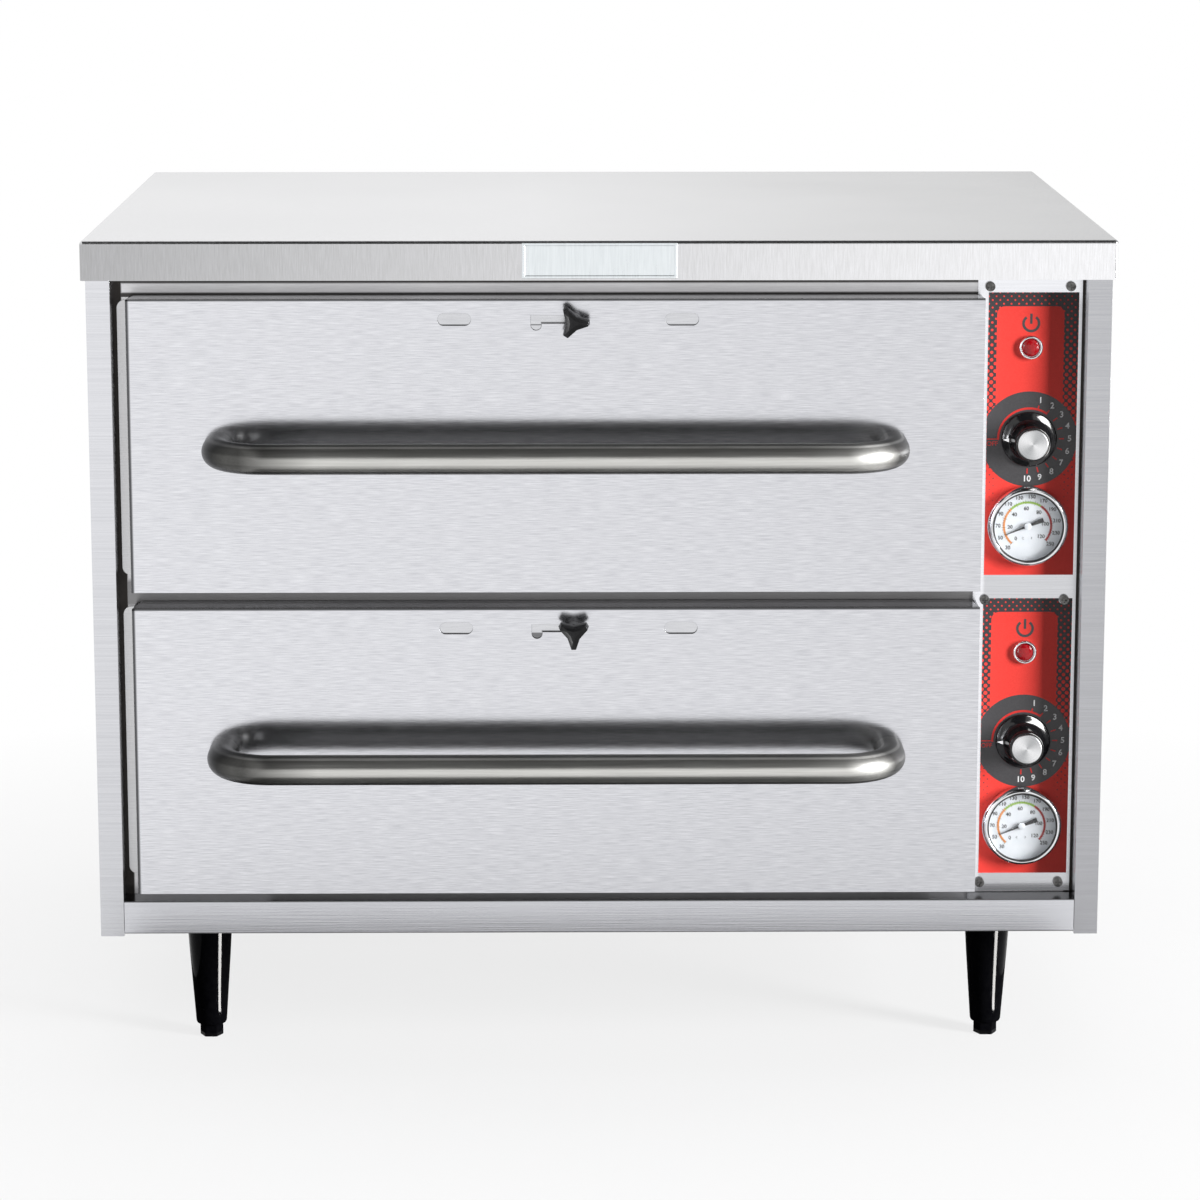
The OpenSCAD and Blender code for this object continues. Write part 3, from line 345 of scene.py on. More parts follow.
# %% Group: brush strokes and wiping clouds
NOISE_SPAN = (0.3, 0.7)
strokes = ("Strokes", "NodeSocketVector", (40, 40, 1000))
brush_tree, given, masks = new_group("brush_strokes", strokes, ["Stroke", "Cloud"])
stretch = {0: given["Vector"], 1: given["Strokes"]}
along = add_node(brush_tree, "ShaderNodeVectorMath", stretch, operation="MULTIPLY").outputs[0]
fine = calc("MULTIPLY", noise(along, 1.0, 2.0, 0.55), 0.8)
both = calc("MULTIPLY_ADD", noise(along, 0.5, 2.0, 0.5), 0.2, fine)
feed(masks["Stroke"], fade(both, *NOISE_SPAN, 0, 1))
feed(masks["Cloud"], fade(noise(given["Vector"], 5.0, 3.0, 0.55), *NOISE_SPAN, 0, 1))


def brushed(name, dark, bright, strokes, smooth, rough, relief):
    """Brushed metal: tone and roughness between two values, strokes per metre along X, Y and Z."""
    tree, shader = new_finish(name, Metallic=1.0)
    marks = use_group(tree, brush_tree, Strokes=strokes)
    wiped = calc("MULTIPLY_ADD", marks["Cloud"], 0.4, calc("MULTIPLY", marks["Stroke"], 0.6))
    wire(shader, Base_Color=blend(marks["Stroke"], dark, bright), Roughness=fade(wiped, 0, 1, smooth, rough),
         Normal=bumped(marks["Stroke"], relief, 0.0002))


print("the brush group has", len(brush_tree.nodes), "nodes")

# %% [markdown]
# ### The metals
# One steel for all would be simplest, but each sheet faces another part of the room and was brushed its own way.
# The
# tones are partly painted reflection: each sheet's steel is lighter or darker for the part of the room it faces. A
# table gives each metal two tones, its strokes along X, Y and Z, two roughnesses and a relief.

# %% Stainless finishes
GRAIN_ACROSS = (70, 80, 1700)
GRAIN_LONG = (14, 80, 1300)
GRAIN_DOWN = (1250, 60, 80)
GRAIN_ALONG_TUBE = (20, 900, 900)
METALS = [
    ("front_steel", (0.61, 0.615, 0.65), (0.83, 0.835, 0.87), GRAIN_ACROSS, 0.13, 0.18, 0.02),
    ("slot_steel", (0.60, 0.605, 0.63), (0.72, 0.725, 0.75), GRAIN_ACROSS, 0.16, 0.25, 0.08),
    ("case_steel", (0.63, 0.635, 0.665), (0.71, 0.715, 0.745), GRAIN_LONG, 0.16, 0.25, 0.05),
    ("rail_steel", (0.64, 0.645, 0.68), (0.71, 0.715, 0.75), GRAIN_LONG, 0.14, 0.2, 0.05),
    ("panel_steel", (0.60, 0.605, 0.63), (0.68, 0.685, 0.71), GRAIN_LONG, 0.16, 0.25, 0.05),
    ("lid_steel", (0.74, 0.74, 0.75), (0.84, 0.84, 0.86), GRAIN_DOWN, 0.16, 0.24, 0.06),
    ("handle_steel", (0.58, 0.575, 0.55), (0.70, 0.695, 0.67), GRAIN_ALONG_TUBE, 0.29, 0.35, 0.04),
    ("inner_steel", (0.50, 0.49, 0.48), (0.60, 0.59, 0.58), GRAIN_ACROSS, 0.26, 0.38, 0.08),
    ("liner_steel", (0.64, 0.64, 0.65), (0.76, 0.76, 0.77), GRAIN_ACROSS, 0.26, 0.38, 0.08),
    ("pan_steel", (0.60, 0.60, 0.60), (0.70, 0.70, 0.70), (30, 30, 400), 0.16, 0.26, 0.06),
    # Painted shade: the screw heads are made near-black, for the dark surround that their polished heads reflect.
    ("screw_steel", (0.05, 0.049, 0.048), (0.2, 0.198, 0.195), (500, 500, 500), 0.14, 0.24, 0.05),
    ("zinc_steel", (0.48, 0.49, 0.5), (0.6, 0.61, 0.62), (60, 60, 60), 0.3, 0.45, 0.1),
    ("plate_metal", (0.76, 0.80, 0.82), (0.84, 0.88, 0.90), (900, 30, 60), 0.25, 0.35, 0.04),
]
for row in METALS:
    brushed(*row)
print(len(METALS), "brushed metals")

# %% [markdown]
# ## Painted shade on the sheets
# Thin gaps and folds are darker than a plain reflection makes them, and big sheets reflect the room as a slow
# change of tone from side to side. More lamps could do some of this, but would change everything else as well, so
# this shade and reflection are painted into the colour. Masks along the object's axes work on one finish at a time:
# each of them multiplies its colour. Where both drawer levels share a finish, a Modulo with the step between the
# levels lets one mask serve both.

# %% Helpers for shading
def past(value, start, span, before, after):
    """Fades from one value to another over a span, (from, to), that is measured from a start."""
    return fade(value, start + span[0], start + span[1], before, after)


def object_axes(tree):
    """The object's own X, Y and Z as sockets."""
    return add_node(tree, "ShaderNodeSeparateXYZ", {0: object_place(tree)}).outputs


def sheet_axes(name):
    """A finish's own X, Y and Z as sockets."""
    return object_axes(FINISHES[name].node_tree)


def in_level(value, start):
    """How far a value is past a start, counted afresh for each drawer level; one of the two is a socket."""
    return calc("MODULO", calc("SUBTRACT", value, start), level_step)


def drift(x, left, right):
    """A painted-shade factor that runs from one value at the cabinet's left side to another at its right."""
    return fade(x, cad_box[0][0], cad_box[1][0], left, right)


def shade(name, *factors):
    """Paints light or shade into a finish's colour: multiplies it by factor sockets."""
    tree = FINISHES[name].node_tree
    colour = tree.nodes["Principled BSDF"].inputs["Base Color"]
    for factor in factors:
        values = {0: colour.links[0].from_socket, "Scale": factor}
        feed(colour, add_node(tree, "ShaderNodeVectorMath", values, operation="SCALE").outputs[0])


def roughen(name, least):
    """Raises a finish's roughness to at least a socket's value."""
    rough = FINISHES[name].node_tree.nodes["Principled BSDF"].inputs["Roughness"]
    feed(rough, calc("MAXIMUM", rough.links[0].from_socket, least))


print("shading helpers ready")

# %% [markdown]
# ### Drawer fronts
# A front is a shallow tray of thin sheet: its top is folded back, its left edge lies in shadow and slots are cut
# through it. The CAD part has these shapes; at this size only their tone shows, so masks close to the edges paint
# the fold's shade and the left edge's shadow into the colour. The walls of the slots get painted shade and are
# rough as well, or they would catch the lamps. A painted reflection makes the front a little darker towards its
# right and towards the bottom of the lower drawer.

# %% Shading of the drawer fronts
FOLD_SHADE = 0.42
SHADOW_TONE = 0.14
CUT_SHADE = 0.06
CUT_ROUGH = 0.6
SLOT_REACH = 0.25
SLOT_DROP = 0.0115
SLOT_SPAN = 0.0175
slider_low, slider_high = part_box("lower_vent_slider")
slot_mid = (slider_low.z + slider_high.z) / 2
x, y, z = sheet_axes("front_steel")
from_top = in_level(front_high.z, z)
# Painted shade: the top edge and the folded-back top are darkened, most near the face and at the back.
fold_edge = calc("MAXIMUM", past(y, front_low.y, (0.004, 0.006), 1, 0),
                 past(y, front_high.y, (-0.01, -0.008), 0, 1))
top_fold_shade = calc("MAXIMUM", fade(fold_edge, 0, 1, FOLD_SHADE, SHADOW_TONE), fade(from_top, 0.0008, 0.0018, 0, 1))
side_fold_shade = past(x, front_low.x, (0.0014, 0.0026), SHADOW_TONE, 1)
up_slots = in_level(z, slot_mid - SLOT_DROP)
in_slots = calc("MULTIPLY", calc("LESS_THAN", up_slots, SLOT_SPAN),
                calc("LESS_THAN", calc("ABSOLUTE", x), SLOT_REACH))
# Painted shade in the walls of the slots, which are also made rough.
cut_wall = calc("MULTIPLY", in_slots, past(y, front_low.y, (0.00001, 0.00004), 0, 1))
# Painted reflection: darker towards the right and towards the bottom of the lower drawer.
low_shade = fade(z, 0.14, 0.28, 0.93, 1)
shade("front_steel", drift(x, 1.03, 0.91), top_fold_shade, side_fold_shade, fade(cut_wall, 0, 1, 1, CUT_SHADE), low_shade)
roughen("front_steel", calc("MULTIPLY", cut_wall, CUT_ROUGH))
print("fronts shaded, one step is", round(level_step / MM, 1), "mm")

# %% [markdown]
# ### Rail and vent sliders
# The rail below the drawers gets a thin painted shadow at its top, under the lower drawer, and a thin painted dark
# line at its foot. Behind the slots lies a sliding sheet, with a painted shadow along each slot's lower rim and
# under the knob's slot. Shadows this thin are steadier painted as masks than cast.

# %% Shading of the rail and the vent sliders
LINE_SHADE = 0.3
RAIL_TOP = lower_front_low.z - 0.008
RAIL_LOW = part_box("base_pan")[0].z
SLOT_HALF = 0.0045
KNOB_SLOT_LIFT = 0.0019
KNOB_SLOT_X = -0.031
KNOB_SLOT_REACH = (0.0115, 0.012)
z = sheet_axes("rail_steel")["Z"]
# Painted shadow at the rail's top, under the lower drawer, and painted shade at its foot.
shade("rail_steel", past(z, RAIL_TOP, (-0.0012, -0.0004), 1, 0.2),
      past(z, RAIL_LOW, (0.0002, 0.0012), LINE_SHADE, 1))
x, _, z = sheet_axes("slot_steel")
# Painted shadow under each slot's lower rim and under the knob's slot.
up_slot = in_level(z, slot_mid - SLOT_HALF)
from_line = calc("ABSOLUTE", calc("SUBTRACT", up_slot, KNOB_SLOT_LIFT))
from_knob_slot = calc("ABSOLUTE", calc("SUBTRACT", x, KNOB_SLOT_X))
knob_slot_shade = calc("MAXIMUM", fade(from_line, 0.0005, 0.0008, LINE_SHADE, 1),
                 fade(from_knob_slot, *KNOB_SLOT_REACH, 0, 1))
shade("slot_steel", fade(up_slot, 0.0006, 0.0011, LINE_SHADE, 1), knob_slot_shade)
print("rail and sliders shaded")

# %% [markdown]
# ### Case, lid and control panel
# Big flat sheets show the room as a slow change of tone; a fade along one axis paints that reflection into the
# colour, and the case is also painted darker towards the bottom. The lid's top and its apron face different ways,
# so each has its own painted fade, and the top is painted a little darker towards the back. The panel is painted
# lighter above the film and left of it.

# %% Shading of the case, the lid and the control panel
PANEL_PAINTED_LIGHT = 1.38
x, _, z = sheet_axes("case_steel")
# Painted shade: the case is darker towards the bottom and towards the right.
shade("case_steel", fade(z, 0.1, 0.5, 0.86, 1.02), drift(x, 1.08, 0.74))
lid_low, lid_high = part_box("top_cover")
x, y, z = sheet_axes("lid_steel")
# Painted reflection: the apron lightens to the right, the top darkens to the right and towards the back.
on_top = past(z, lid_high.z, (-0.003, -0.001), 0, 1)
tones = {"Factor": on_top, "A": drift(x, 0.58, 1.18), "B": fade(x, -0.05, cad_box[1][0], 0.88, 0.42)}
lid_shade = add_node(on_top.id_data, "ShaderNodeMix", tones).outputs["Result"]
shade("lid_steel", lid_shade, fade(y, 0.0, cad_box[1][1], 1, 0.92))
film_low, film_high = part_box("upper_overlay")
x, _, z = sheet_axes("panel_steel")
# Painted light on the panel above the film and left of it.
panel_edge = calc("MAXIMUM", past(z, film_high.z, (-0.01, 0.002), 0, 1),
                  past(x, film_low.x, (-0.001, 0.001), 1, 0))
shade("panel_steel", fade(panel_edge, 0, 1, 1, PANEL_PAINTED_LIGHT))
print("case, lid and panel shaded")

# %% [markdown]
# ### Handles
# A tube of satin steel shows the studio as long bands. A colour ramp up the tube's height paints these bands into
# the colour, sharper than the reflections give them: dark below, a bright band in the middle, a dark one and a thin
# bright line above. The tube's back, which the fronts reflect, is painted dark; the left bend is painted dark and
# the right one a little darker and soft.

# %% Shading of the handles
TUBE_PAINTED_BANDS = [(0.0, 0.3), (0.12, 0.4), (0.16, 1.2), (0.34, 0.75), (0.38, 0.95), (0.62, 1.0), (0.69, 0.58),
              (0.88, 0.54), (0.91, 1.4), (0.94, 1.4), (0.96, 0.5)]
bar_low, bar_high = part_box("upper_handle")
tube = bar_high.z - bar_low.z
x, y, z = sheet_axes("handle_steel")
# Painted shade: the tube's back and its left bend are darkened, the right bend a little.
behind_bar_shade = past(y, bar_low.y + tube / 2, (-0.002, 0.009), 1, 0.28)
left_bend_shade = past(x, bar_low.x, (0.03, 0.085), 0.15, 1)
right_bend_shade = past(x, bar_high.x, (-0.05, -0.015), 1, 0.9)
# Painted reflection: bands of tone up the tube's height.
up_tube = in_level(z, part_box("lower_handle")[0].z)
ramp = add_node(up_tube.id_data, "ShaderNodeValToRGB", {0: calc("DIVIDE", up_tube, tube)})
stops = ramp.color_ramp.elements
while len(stops) < len(TUBE_PAINTED_BANDS):
    stops.new(0.5)
for stop, (spot, tone) in zip(stops, TUBE_PAINTED_BANDS):
    stop.position = spot
    stop.color = (tone, tone, tone, 1)
shade("handle_steel", behind_bar_shade, left_bend_shade, right_bend_shade, ramp.outputs["Color"])
roughen("handle_steel", past(x, bar_high.x, (-0.09, -0.03), 0.29, 0.44))
print("handles shaded with", len(stops), "tones")

# %% [markdown]
# ## Other finishes
# Moulded plastic, wool, enamel, print and glass are never quite even. One flat colour each would look like a
# drawing, so a soft noise of each material's own scale shifts colour and roughness a little and gives a slight
# relief. All of them share one group, and a table holds what differs.

# %% Group: mottle
mottle_tree, given, masks = new_group("mottle", ("Grains", "NodeSocketFloat", 200.0), ["Mottle"])
feed(masks["Mottle"], fade(noise(given["Vector"], given["Grains"], 4.0, 0.6), *NOISE_SPAN, 0, 1))


def mottled(name, first, second, grains, smooth, rough, relief, values=None):
    """A finish whose colour and roughness drift between two values, with grains per metre."""
    tree, shader = new_finish(name, **(values or {}))
    mask = use_group(tree, mottle_tree, Grains=grains)["Mottle"]
    wire(shader, Base_Color=blend(mask, first, second), Roughness=fade(mask, 0, 1, smooth, rough),
         Normal=bumped(mask, relief, 0.0003))


print("the mottle group has", len(mottle_tree.nodes), "nodes")

# %% Plain finishes
INK_LOOK = (900, 0.4, 0.5, 0.03)
METAL = {"Metallic": 1.0}
# The arrow's white print glows a little: painted light that keeps it white in the knob's shade.
PAINTED_GLOW = {"Emission_Color": (1, 1, 1), "Emission_Strength": 0.45}
RED_GLASS = {"Transmission_Weight": 0.35, "IOR": 1.49}
THIN_GLASS = {"Transmission_Weight": 1.0, "IOR": 1.3, "Alpha": 0.3}
PLAIN = [
    ("gloss_black", (0.002, 0.002, 0.003), (0.005, 0.005, 0.006), 300, 0.06, 0.1, 0.005,
     {"Specular_IOR_Level": 0.04}),
    ("knob_black", (0.006, 0.006, 0.007), (0.010, 0.010, 0.011), 500, 0.10, 0.13, 0.0),
    ("star_black", (0.006, 0.006, 0.007), (0.014, 0.014, 0.015), 700, 0.32, 0.48, 0.1,
     {"Specular_IOR_Level": 0.25}),
    ("satin_black", (0.016, 0.016, 0.017), (0.034, 0.034, 0.036), 700, 0.32, 0.48, 0.15),
    ("bright_chrome", (0.76, 0.77, 0.79), (0.84, 0.85, 0.86), 60, 0.09, 0.13, 0.0, METAL),
    ("dial_white", (0.79, 0.83, 0.87), (0.85, 0.88, 0.92), 120, 0.35, 0.45, 0.02),
    ("charcoal_print", (0.040, 0.038, 0.041), (0.055, 0.053, 0.056), 900, 0.32, 0.42, 0.05),
    ("arrow_print", (0.88, 0.88, 0.88), (0.94, 0.94, 0.94), 900, 0.4, 0.5, 0.0, PAINTED_GLOW),
    ("red_print", (0.60, 0.022, 0.018), (0.68, 0.03, 0.024), 900, 0.35, 0.45, 0.03),
    ("white_print", (0.84, 0.84, 0.84), (0.92, 0.92, 0.92), *INK_LOOK),
    ("black_print", (0.03, 0.03, 0.032), (0.05, 0.05, 0.052), *INK_LOOK),
    ("orange_print", (0.80, 0.30, 0.09), (0.86, 0.36, 0.12), *INK_LOOK),
    ("green_print", (0.30, 0.52, 0.07), (0.36, 0.58, 0.10), *INK_LOOK),
    ("crimson_print", (0.42, 0.04, 0.04), (0.50, 0.06, 0.055), *INK_LOOK),
    ("lens_red", (0.42, 0.003, 0.008), (0.62, 0.006, 0.014), 600, 0.08, 0.16, 0.02, RED_GLASS),
    ("clear_glass", (0.97, 0.98, 0.98), (1.0, 1.0, 1.0), 40, 0.0, 0.02, 0.0, THIN_GLASS),
    ("wool_board", (0.46, 0.38, 0.2), (0.66, 0.58, 0.36), 900, 0.85, 0.98, 0.9),
    ("case_plastic", (0.10, 0.095, 0.09), (0.17, 0.16, 0.15), 500, 0.4, 0.55, 0.1),
    ("ceramic_body", (0.70, 0.66, 0.57), (0.80, 0.76, 0.68), 400, 0.5, 0.65, 0.1),
    ("nylon", (0.74, 0.72, 0.64), (0.84, 0.82, 0.75), 300, 0.35, 0.5, 0.05),
    ("copper", (0.52, 0.27, 0.15), (0.68, 0.40, 0.24), 200, 0.25, 0.4, 0.05, METAL),
    ("element_steel", (0.13, 0.10, 0.085), (0.30, 0.27, 0.25), 60, 0.35, 0.55, 0.08, METAL),
]
for row in PLAIN:
    mottled(*row)
print(len(PLAIN), "plain finishes")

# %% [markdown]
# ## The printed overlay
# The red film has a charcoal border made of a halftone: red dots that grow from the top down until they touch, and
# then leave only small dark specks. A dot is drawn where the distance to the nearest point of a slanted lattice is
# less than a radius that grows with the depth below the film's top edge. A plain red field with round upper corners
# lies inside the border. Made of nodes, the print stays sharp however close the camera comes.

# %% Finish: red film with a halftone border
DOT_PITCH = 3.93
DOT_START = 0.15
DOT_GROWTH = 0.0032
DOT_BLUR = 0.02
FIELD_LEFT = 6.3
FIELD_RIGHT = 55.8
FIELD_TOP = 10.2
FIELD_CORNER = 5.8
FIELD_BLUR = 0.1
tree, shader = new_finish("red_film", Specular_IOR_Level=0.3)
x, _, z = object_axes(tree)
across = calc("MULTIPLY", calc("SUBTRACT", x, film_low.x), 1 / MM)
below = calc("MULTIPLY", in_level(film_high.z, z), 1 / MM)
flat = add_node(tree, "ShaderNodeCombineXYZ", {"X": across, "Y": below}).outputs[0]
slant = {"Vector": flat, "Rotation": (0, 0, math.pi / 4), "Scale": (1 / DOT_PITCH,) * 3}
lattice = add_node(tree, "ShaderNodeMapping", slant).outputs[0]
cell = add_node(tree, "ShaderNodeVectorMath", {0: lattice}, operation="FRACTION").outputs[0]
centred = add_node(tree, "ShaderNodeVectorMath", {0: cell, 1: (0.5, 0.5, 0)}, operation="SUBTRACT").outputs[0]
dot_size = calc("MULTIPLY_ADD", below, DOT_GROWTH, DOT_START)
dot = fade(calc("SUBTRACT", dot_size, length(centred)), -DOT_BLUR, DOT_BLUR, 0, 1)
field_half = (FIELD_RIGHT - FIELD_LEFT) / 2
side = calc("ABSOLUTE", calc("SUBTRACT", across, FIELD_LEFT + field_half))
side = calc("MAXIMUM", calc("SUBTRACT", side, field_half - FIELD_CORNER), 0.0)
rise = calc("MAXIMUM", calc("SUBTRACT", FIELD_TOP + FIELD_CORNER, below), 0.0)
corner = calc("SQRT", calc("ADD", calc("MULTIPLY", side, side), calc("MULTIPLY", rise, rise)))
inked = calc("MAXIMUM", fade(corner, FIELD_CORNER - FIELD_BLUR, FIELD_CORNER + FIELD_BLUR, 1, 0), dot)
speckle = use_group(tree, mottle_tree, Grains=1200)["Mottle"]
red_tone = blend(speckle, (0.77, 0.046, 0.036), (0.83, 0.063, 0.049))
wire(shader, Base_Color=blend(inked, (0.042, 0.038, 0.041), red_tone), Roughness=fade(speckle, 0, 1, 0.34, 0.44),
     Normal=bumped(speckle, 0.04, 0.0002))
print("film pattern repeats every", round(level_step / MM, 1), "mm")

# %% [markdown]
# ## The frame behind the fronts
# The inner frame shows only in the gaps round the drawers. Where a gap is wide, the sheet is bright like the
# liners; towards the sides, behind the bar between the drawers, under the lid and just above the upper drawer it
# lies in shade, which is painted in as a near-black colour. Two sheets would need a seam, so masks along X and Z
# blend the lit look and the painted shade on one.

# %% Finish: frame sheet with painted shade
FRAME_EDGE = 0.3505
FRAME_BAR = (front_low.z + lower_front_high.z) / 2
BAR_SHADE = 0.66
GAP_SHADE = 0.95
tree, shader = new_finish("frame_steel", Metallic=0.9)
marks = use_group(tree, brush_tree, Strokes=GRAIN_ACROSS)
x, _, z = object_axes(tree)
# Painted shade: near-black at the sides, behind the bar, under the lid and just above the upper drawer.
from_bar = calc("ABSOLUTE", calc("SUBTRACT", z, FRAME_BAR))
above_drawer = calc("GREATER_THAN", z, front_high.z - 0.002)
drawer_gap = past(z, front_high.z, (0.0006, 0.0018), GAP_SHADE, 0)
painted_gap_shade = past(calc("ABSOLUTE", x), FRAME_EDGE, (0, 0.001), 0, 1)
for mask in (fade(from_bar, 0.008, 0.012, BAR_SHADE, 0), past(z, lid_low.z, (-0.0056, -0.0044), 0, GAP_SHADE),
             calc("MULTIPLY", drawer_gap, above_drawer)):
    painted_gap_shade = calc("MAXIMUM", painted_gap_shade, mask)
bright = blend(marks["Stroke"], (0.72, 0.715, 0.73), (0.82, 0.815, 0.83))
wire(shader, Base_Color=blend(painted_gap_shade, bright, (0.03, 0.027, 0.025)), Roughness=fade(marks["Cloud"], 0, 1, 0.28, 0.4))
print("frame sheet ready")

# %% [markdown]
# ## Dressing the CAD parts
# Most CAD parts already have the right shape. They keep it, and get a finish and softened edges: their meshes are
# loose triangles, so a Weld joins them, a planar Decimate clears the flat faces, and a Bevel rounds what is sharp.

# %% Finishes and edges for the CAD parts
def dress(node, finish, edge):
    """Gives a CAD node its finish and, with an edge width in millimetres, rounds its sharp edges."""
    part = nodes[node]
    for slot in part.material_slots:
        slot.material = FINISHES[finish]
    if edge:
        put(part.modifiers.new("join", "WELD"), merge_threshold=0.00001)
        put(part.modifiers.new("clear", "DECIMATE"), decimate_type="DISSOLVE", angle_limit=math.radians(0.3))
        put(part.modifiers.new("round", "BEVEL"), width=edge * MM, segments=2, limit_method="ANGLE",
            angle_limit=math.radians(40), harden_normals=True)


def pairs(*names):
    """The upper and the lower node of each name."""
    return [f"{level}_{name}" for name in names for level in LEVELS]


CAD_FINISHES = [
    ("case_steel", 0.5, ["left_side_panel", "right_side_panel", "back_panel"]),
    ("panel_steel", 0.5, ["control_panel"]),
    ("rail_steel", 0.5, ["base_pan"]),
    ("front_steel", 0.45, pairs("drawer_front")),
    ("slot_steel", 0.4, pairs("vent_slider")),
    ("liner_steel", 0.4, pairs("cavity_liner")),
    ("inner_steel", 0.4, pairs("carriage", "back_plate") + ["element_brackets"]),
    ("frame_steel", 0.4, ["face_frame"]),
    ("zinc_steel", 0.4, pairs("tracks", "handle_bolts")),
    ("screw_steel", 0.7, ["panel_screws", "back_screws"]),
    ("plate_metal", 0.4, ["nameplate"]),
    ("element_steel", 0, pairs("heating_element")),
    ("wool_board", 1.5, ["insulation_boards"]),
    ("case_plastic", 0.8, ["thermostats"]),
    ("red_film", 0, pairs("overlay")),
    ("dial_white", 0, ["gauge_dials"]),
    ("clear_glass", 0, ["gauge_glasses"]),
    ("satin_black", 0.6, ["cord_gland"]),
    ("copper", 0, ["sensor_lines"]),
    ("ceramic_body", 0.6, ["terminal_block"]),
    ("nylon", 0.5, pairs("front_rollers", "rear_rollers")),
    ("gloss_black", 1.0, ["front_left_foot", "front_right_foot", "rear_left_foot", "rear_right_foot"]),
]
for finish, edge, names in CAD_FINISHES:
    for node in names:
        dress(node, finish, edge)
print("dressed", sum(len(names) for _, _, names in CAD_FINISHES), "CAD nodes")

# %% [markdown]
# ## Helpers for modelled pieces
# A piece is a bmesh that ends at its real place, with its normals turned outwards. Turned pieces are a profile spun
# about a line through their middle; flat ones are an outline drawn out. Shading is smooth up to a given angle. One
# function finishes every piece, so none is left without a body to move with.

# %% Helpers: rounding and placing pieces
def bevel(bm, edges, width, segments):
    """Rounds edges; width is in millimetres."""
    bmesh.ops.bevel(bm, geom=edges, offset=width * MM, offset_type="OFFSET", segments=segments, profile=0.5,
                    affect="EDGES", clamp_overlap=True, material=-1)


def piece(name, bm, body, finish, stands_for=(), smooth=35):
    """Makes the object, shades it, ties it to a body and hides the CAD nodes it stands for."""
    bmesh.ops.recalc_face_normals(bm, faces=bm.faces)
    made = new_object(name, bm)
    made.data.materials.append(FINISHES[finish])
    made.data.polygons.foreach_set("use_smooth", [smooth > 0] * len(made.data.polygons))
    if smooth:
        made.data.set_sharp_from_angle(angle=math.radians(smooth))
    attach(made, body)
    if stands_for:
        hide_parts(*stands_for)
    print(name, len(made.data.polygons), "faces")
    return made


def thicken(made, sheet):
    """Gives an open shell the thickness of its sheet, inwards and in millimetres."""
    put(made.modifiers.new("sheet", "SOLIDIFY"), thickness=sheet * MM, offset=-1)
    made.modifiers.new("even", "WEIGHTED_NORMAL")


print("piece helpers ready")

# %% [markdown]
# ## Top cover
# The lid is one folded sheet: a flat top with an apron all round, bent over a small radius and ground smooth at the
# corners. Folding a flat outline would leave gaps at the corners; a cube without its underside, bevelled along the
# bends, has none, and a Solidify gives the sheet.

# %% Lid with bent edges
LID_SHEET = 1.5
LID_BEND = 2.6
bm = bmesh.new()
bmesh.ops.create_cube(bm, size=1)
bmesh.ops.scale(bm, vec=lid_high - lid_low, verts=bm.verts)
bmesh.ops.translate(bm, vec=(lid_low + lid_high) / 2, verts=bm.verts)
bmesh.ops.delete(bm, geom=[f for f in bm.faces if f.normal.z < -0.5], context="FACES_ONLY")
bevel(bm, [e for e in bm.edges if len(e.link_faces) == 2], LID_BEND, 5)
lid = piece("top_lid", bm, "cabinet", "lid_steel", ["top_cover"], smooth=40)
thicken(lid, LID_SHEET)

# %% [markdown]
# ## Handles
# Each handle is a satin-polished tube with two bends. A circle at the left foot is drawn out, spun through the
# bend, drawn along the bar, spun again and drawn back to the drawer front. A bevelled curve would look alike, but
# this way the rings are evenly spaced and the ends are closed.

# %% Helpers: drawing out and swinging rings
SAME_SPOT = 0.000001


def points_in(geom):
    """The vertices in what a bmesh operator gives back."""
    return [g for g in geom if isinstance(g, bmesh.types.BMVert)]


def edges_in(geom):
    """The edges in what a bmesh operator gives back."""
    return [g for g in geom if isinstance(g, bmesh.types.BMEdge)]


def open_edges(bm):
    """The edges at a mesh's holes."""
    return [e for e in bm.edges if e.is_boundary]


def draw_out(bm, ring, way):
    """Extrudes a ring of edges by a vector and returns the new ring."""
    grown = bmesh.ops.extrude_edge_only(bm, edges=ring)["geom"]
    bmesh.ops.translate(bm, vec=way, verts=points_in(grown))
    return [e for e in edges_in(grown) if e.is_boundary]


def swing(bm, ring, centre):
    """Spins a ring of edges a quarter turn about an upright line and returns the last ring."""
    return edges_in(bmesh.ops.spin(bm, geom=ring, cent=centre, axis=(0, 0, 1), angle=math.pi / 2,
                                   steps=20)["geom_last"])


print("ring helpers ready")

# %% Tube handles
BEND_RADIUS = 38
for level, low, high in level_boxes("handle"):
    radius = (high.z - low.z) / 2
    left, right = low.x + radius, high.x - radius
    turn = BEND_RADIUS * MM
    bar_y, mid_z = low.y + radius, (low.z + high.z) / 2
    bm = bmesh.new()
    seat = Matrix.Translation((left, high.y, mid_z)) @ Matrix.Rotation(math.pi / 2, 4, "X")
    bmesh.ops.create_circle(bm, cap_ends=False, segments=48, radius=radius, matrix=seat)
    ring = draw_out(bm, list(bm.edges), (0, bar_y + turn - high.y, 0))
    ring = swing(bm, ring, (left + turn, bar_y + turn, mid_z))
    ring = draw_out(bm, ring, (right - left - 2 * turn, 0, 0))
    ring = swing(bm, ring, (right - turn, bar_y + turn, mid_z))
    draw_out(bm, ring, (0, high.y - bar_y - turn, 0))
    bmesh.ops.remove_doubles(bm, verts=bm.verts, dist=SAME_SPOT)
    bmesh.ops.holes_fill(bm, edges=open_edges(bm), sides=0)
    piece(f"{level}_tube_handle", bm, f"{level}_drawer", "handle_steel", [f"{level}_handle"])

# %% [markdown]
# ## Legs
# Gloss black tapered legs with a softly rounded lower rim stand on hexagonal feet. All four are one profile, spun
# about upright lines; a cone could not have the rim. The lit strips on the floor shine on the legs alone.

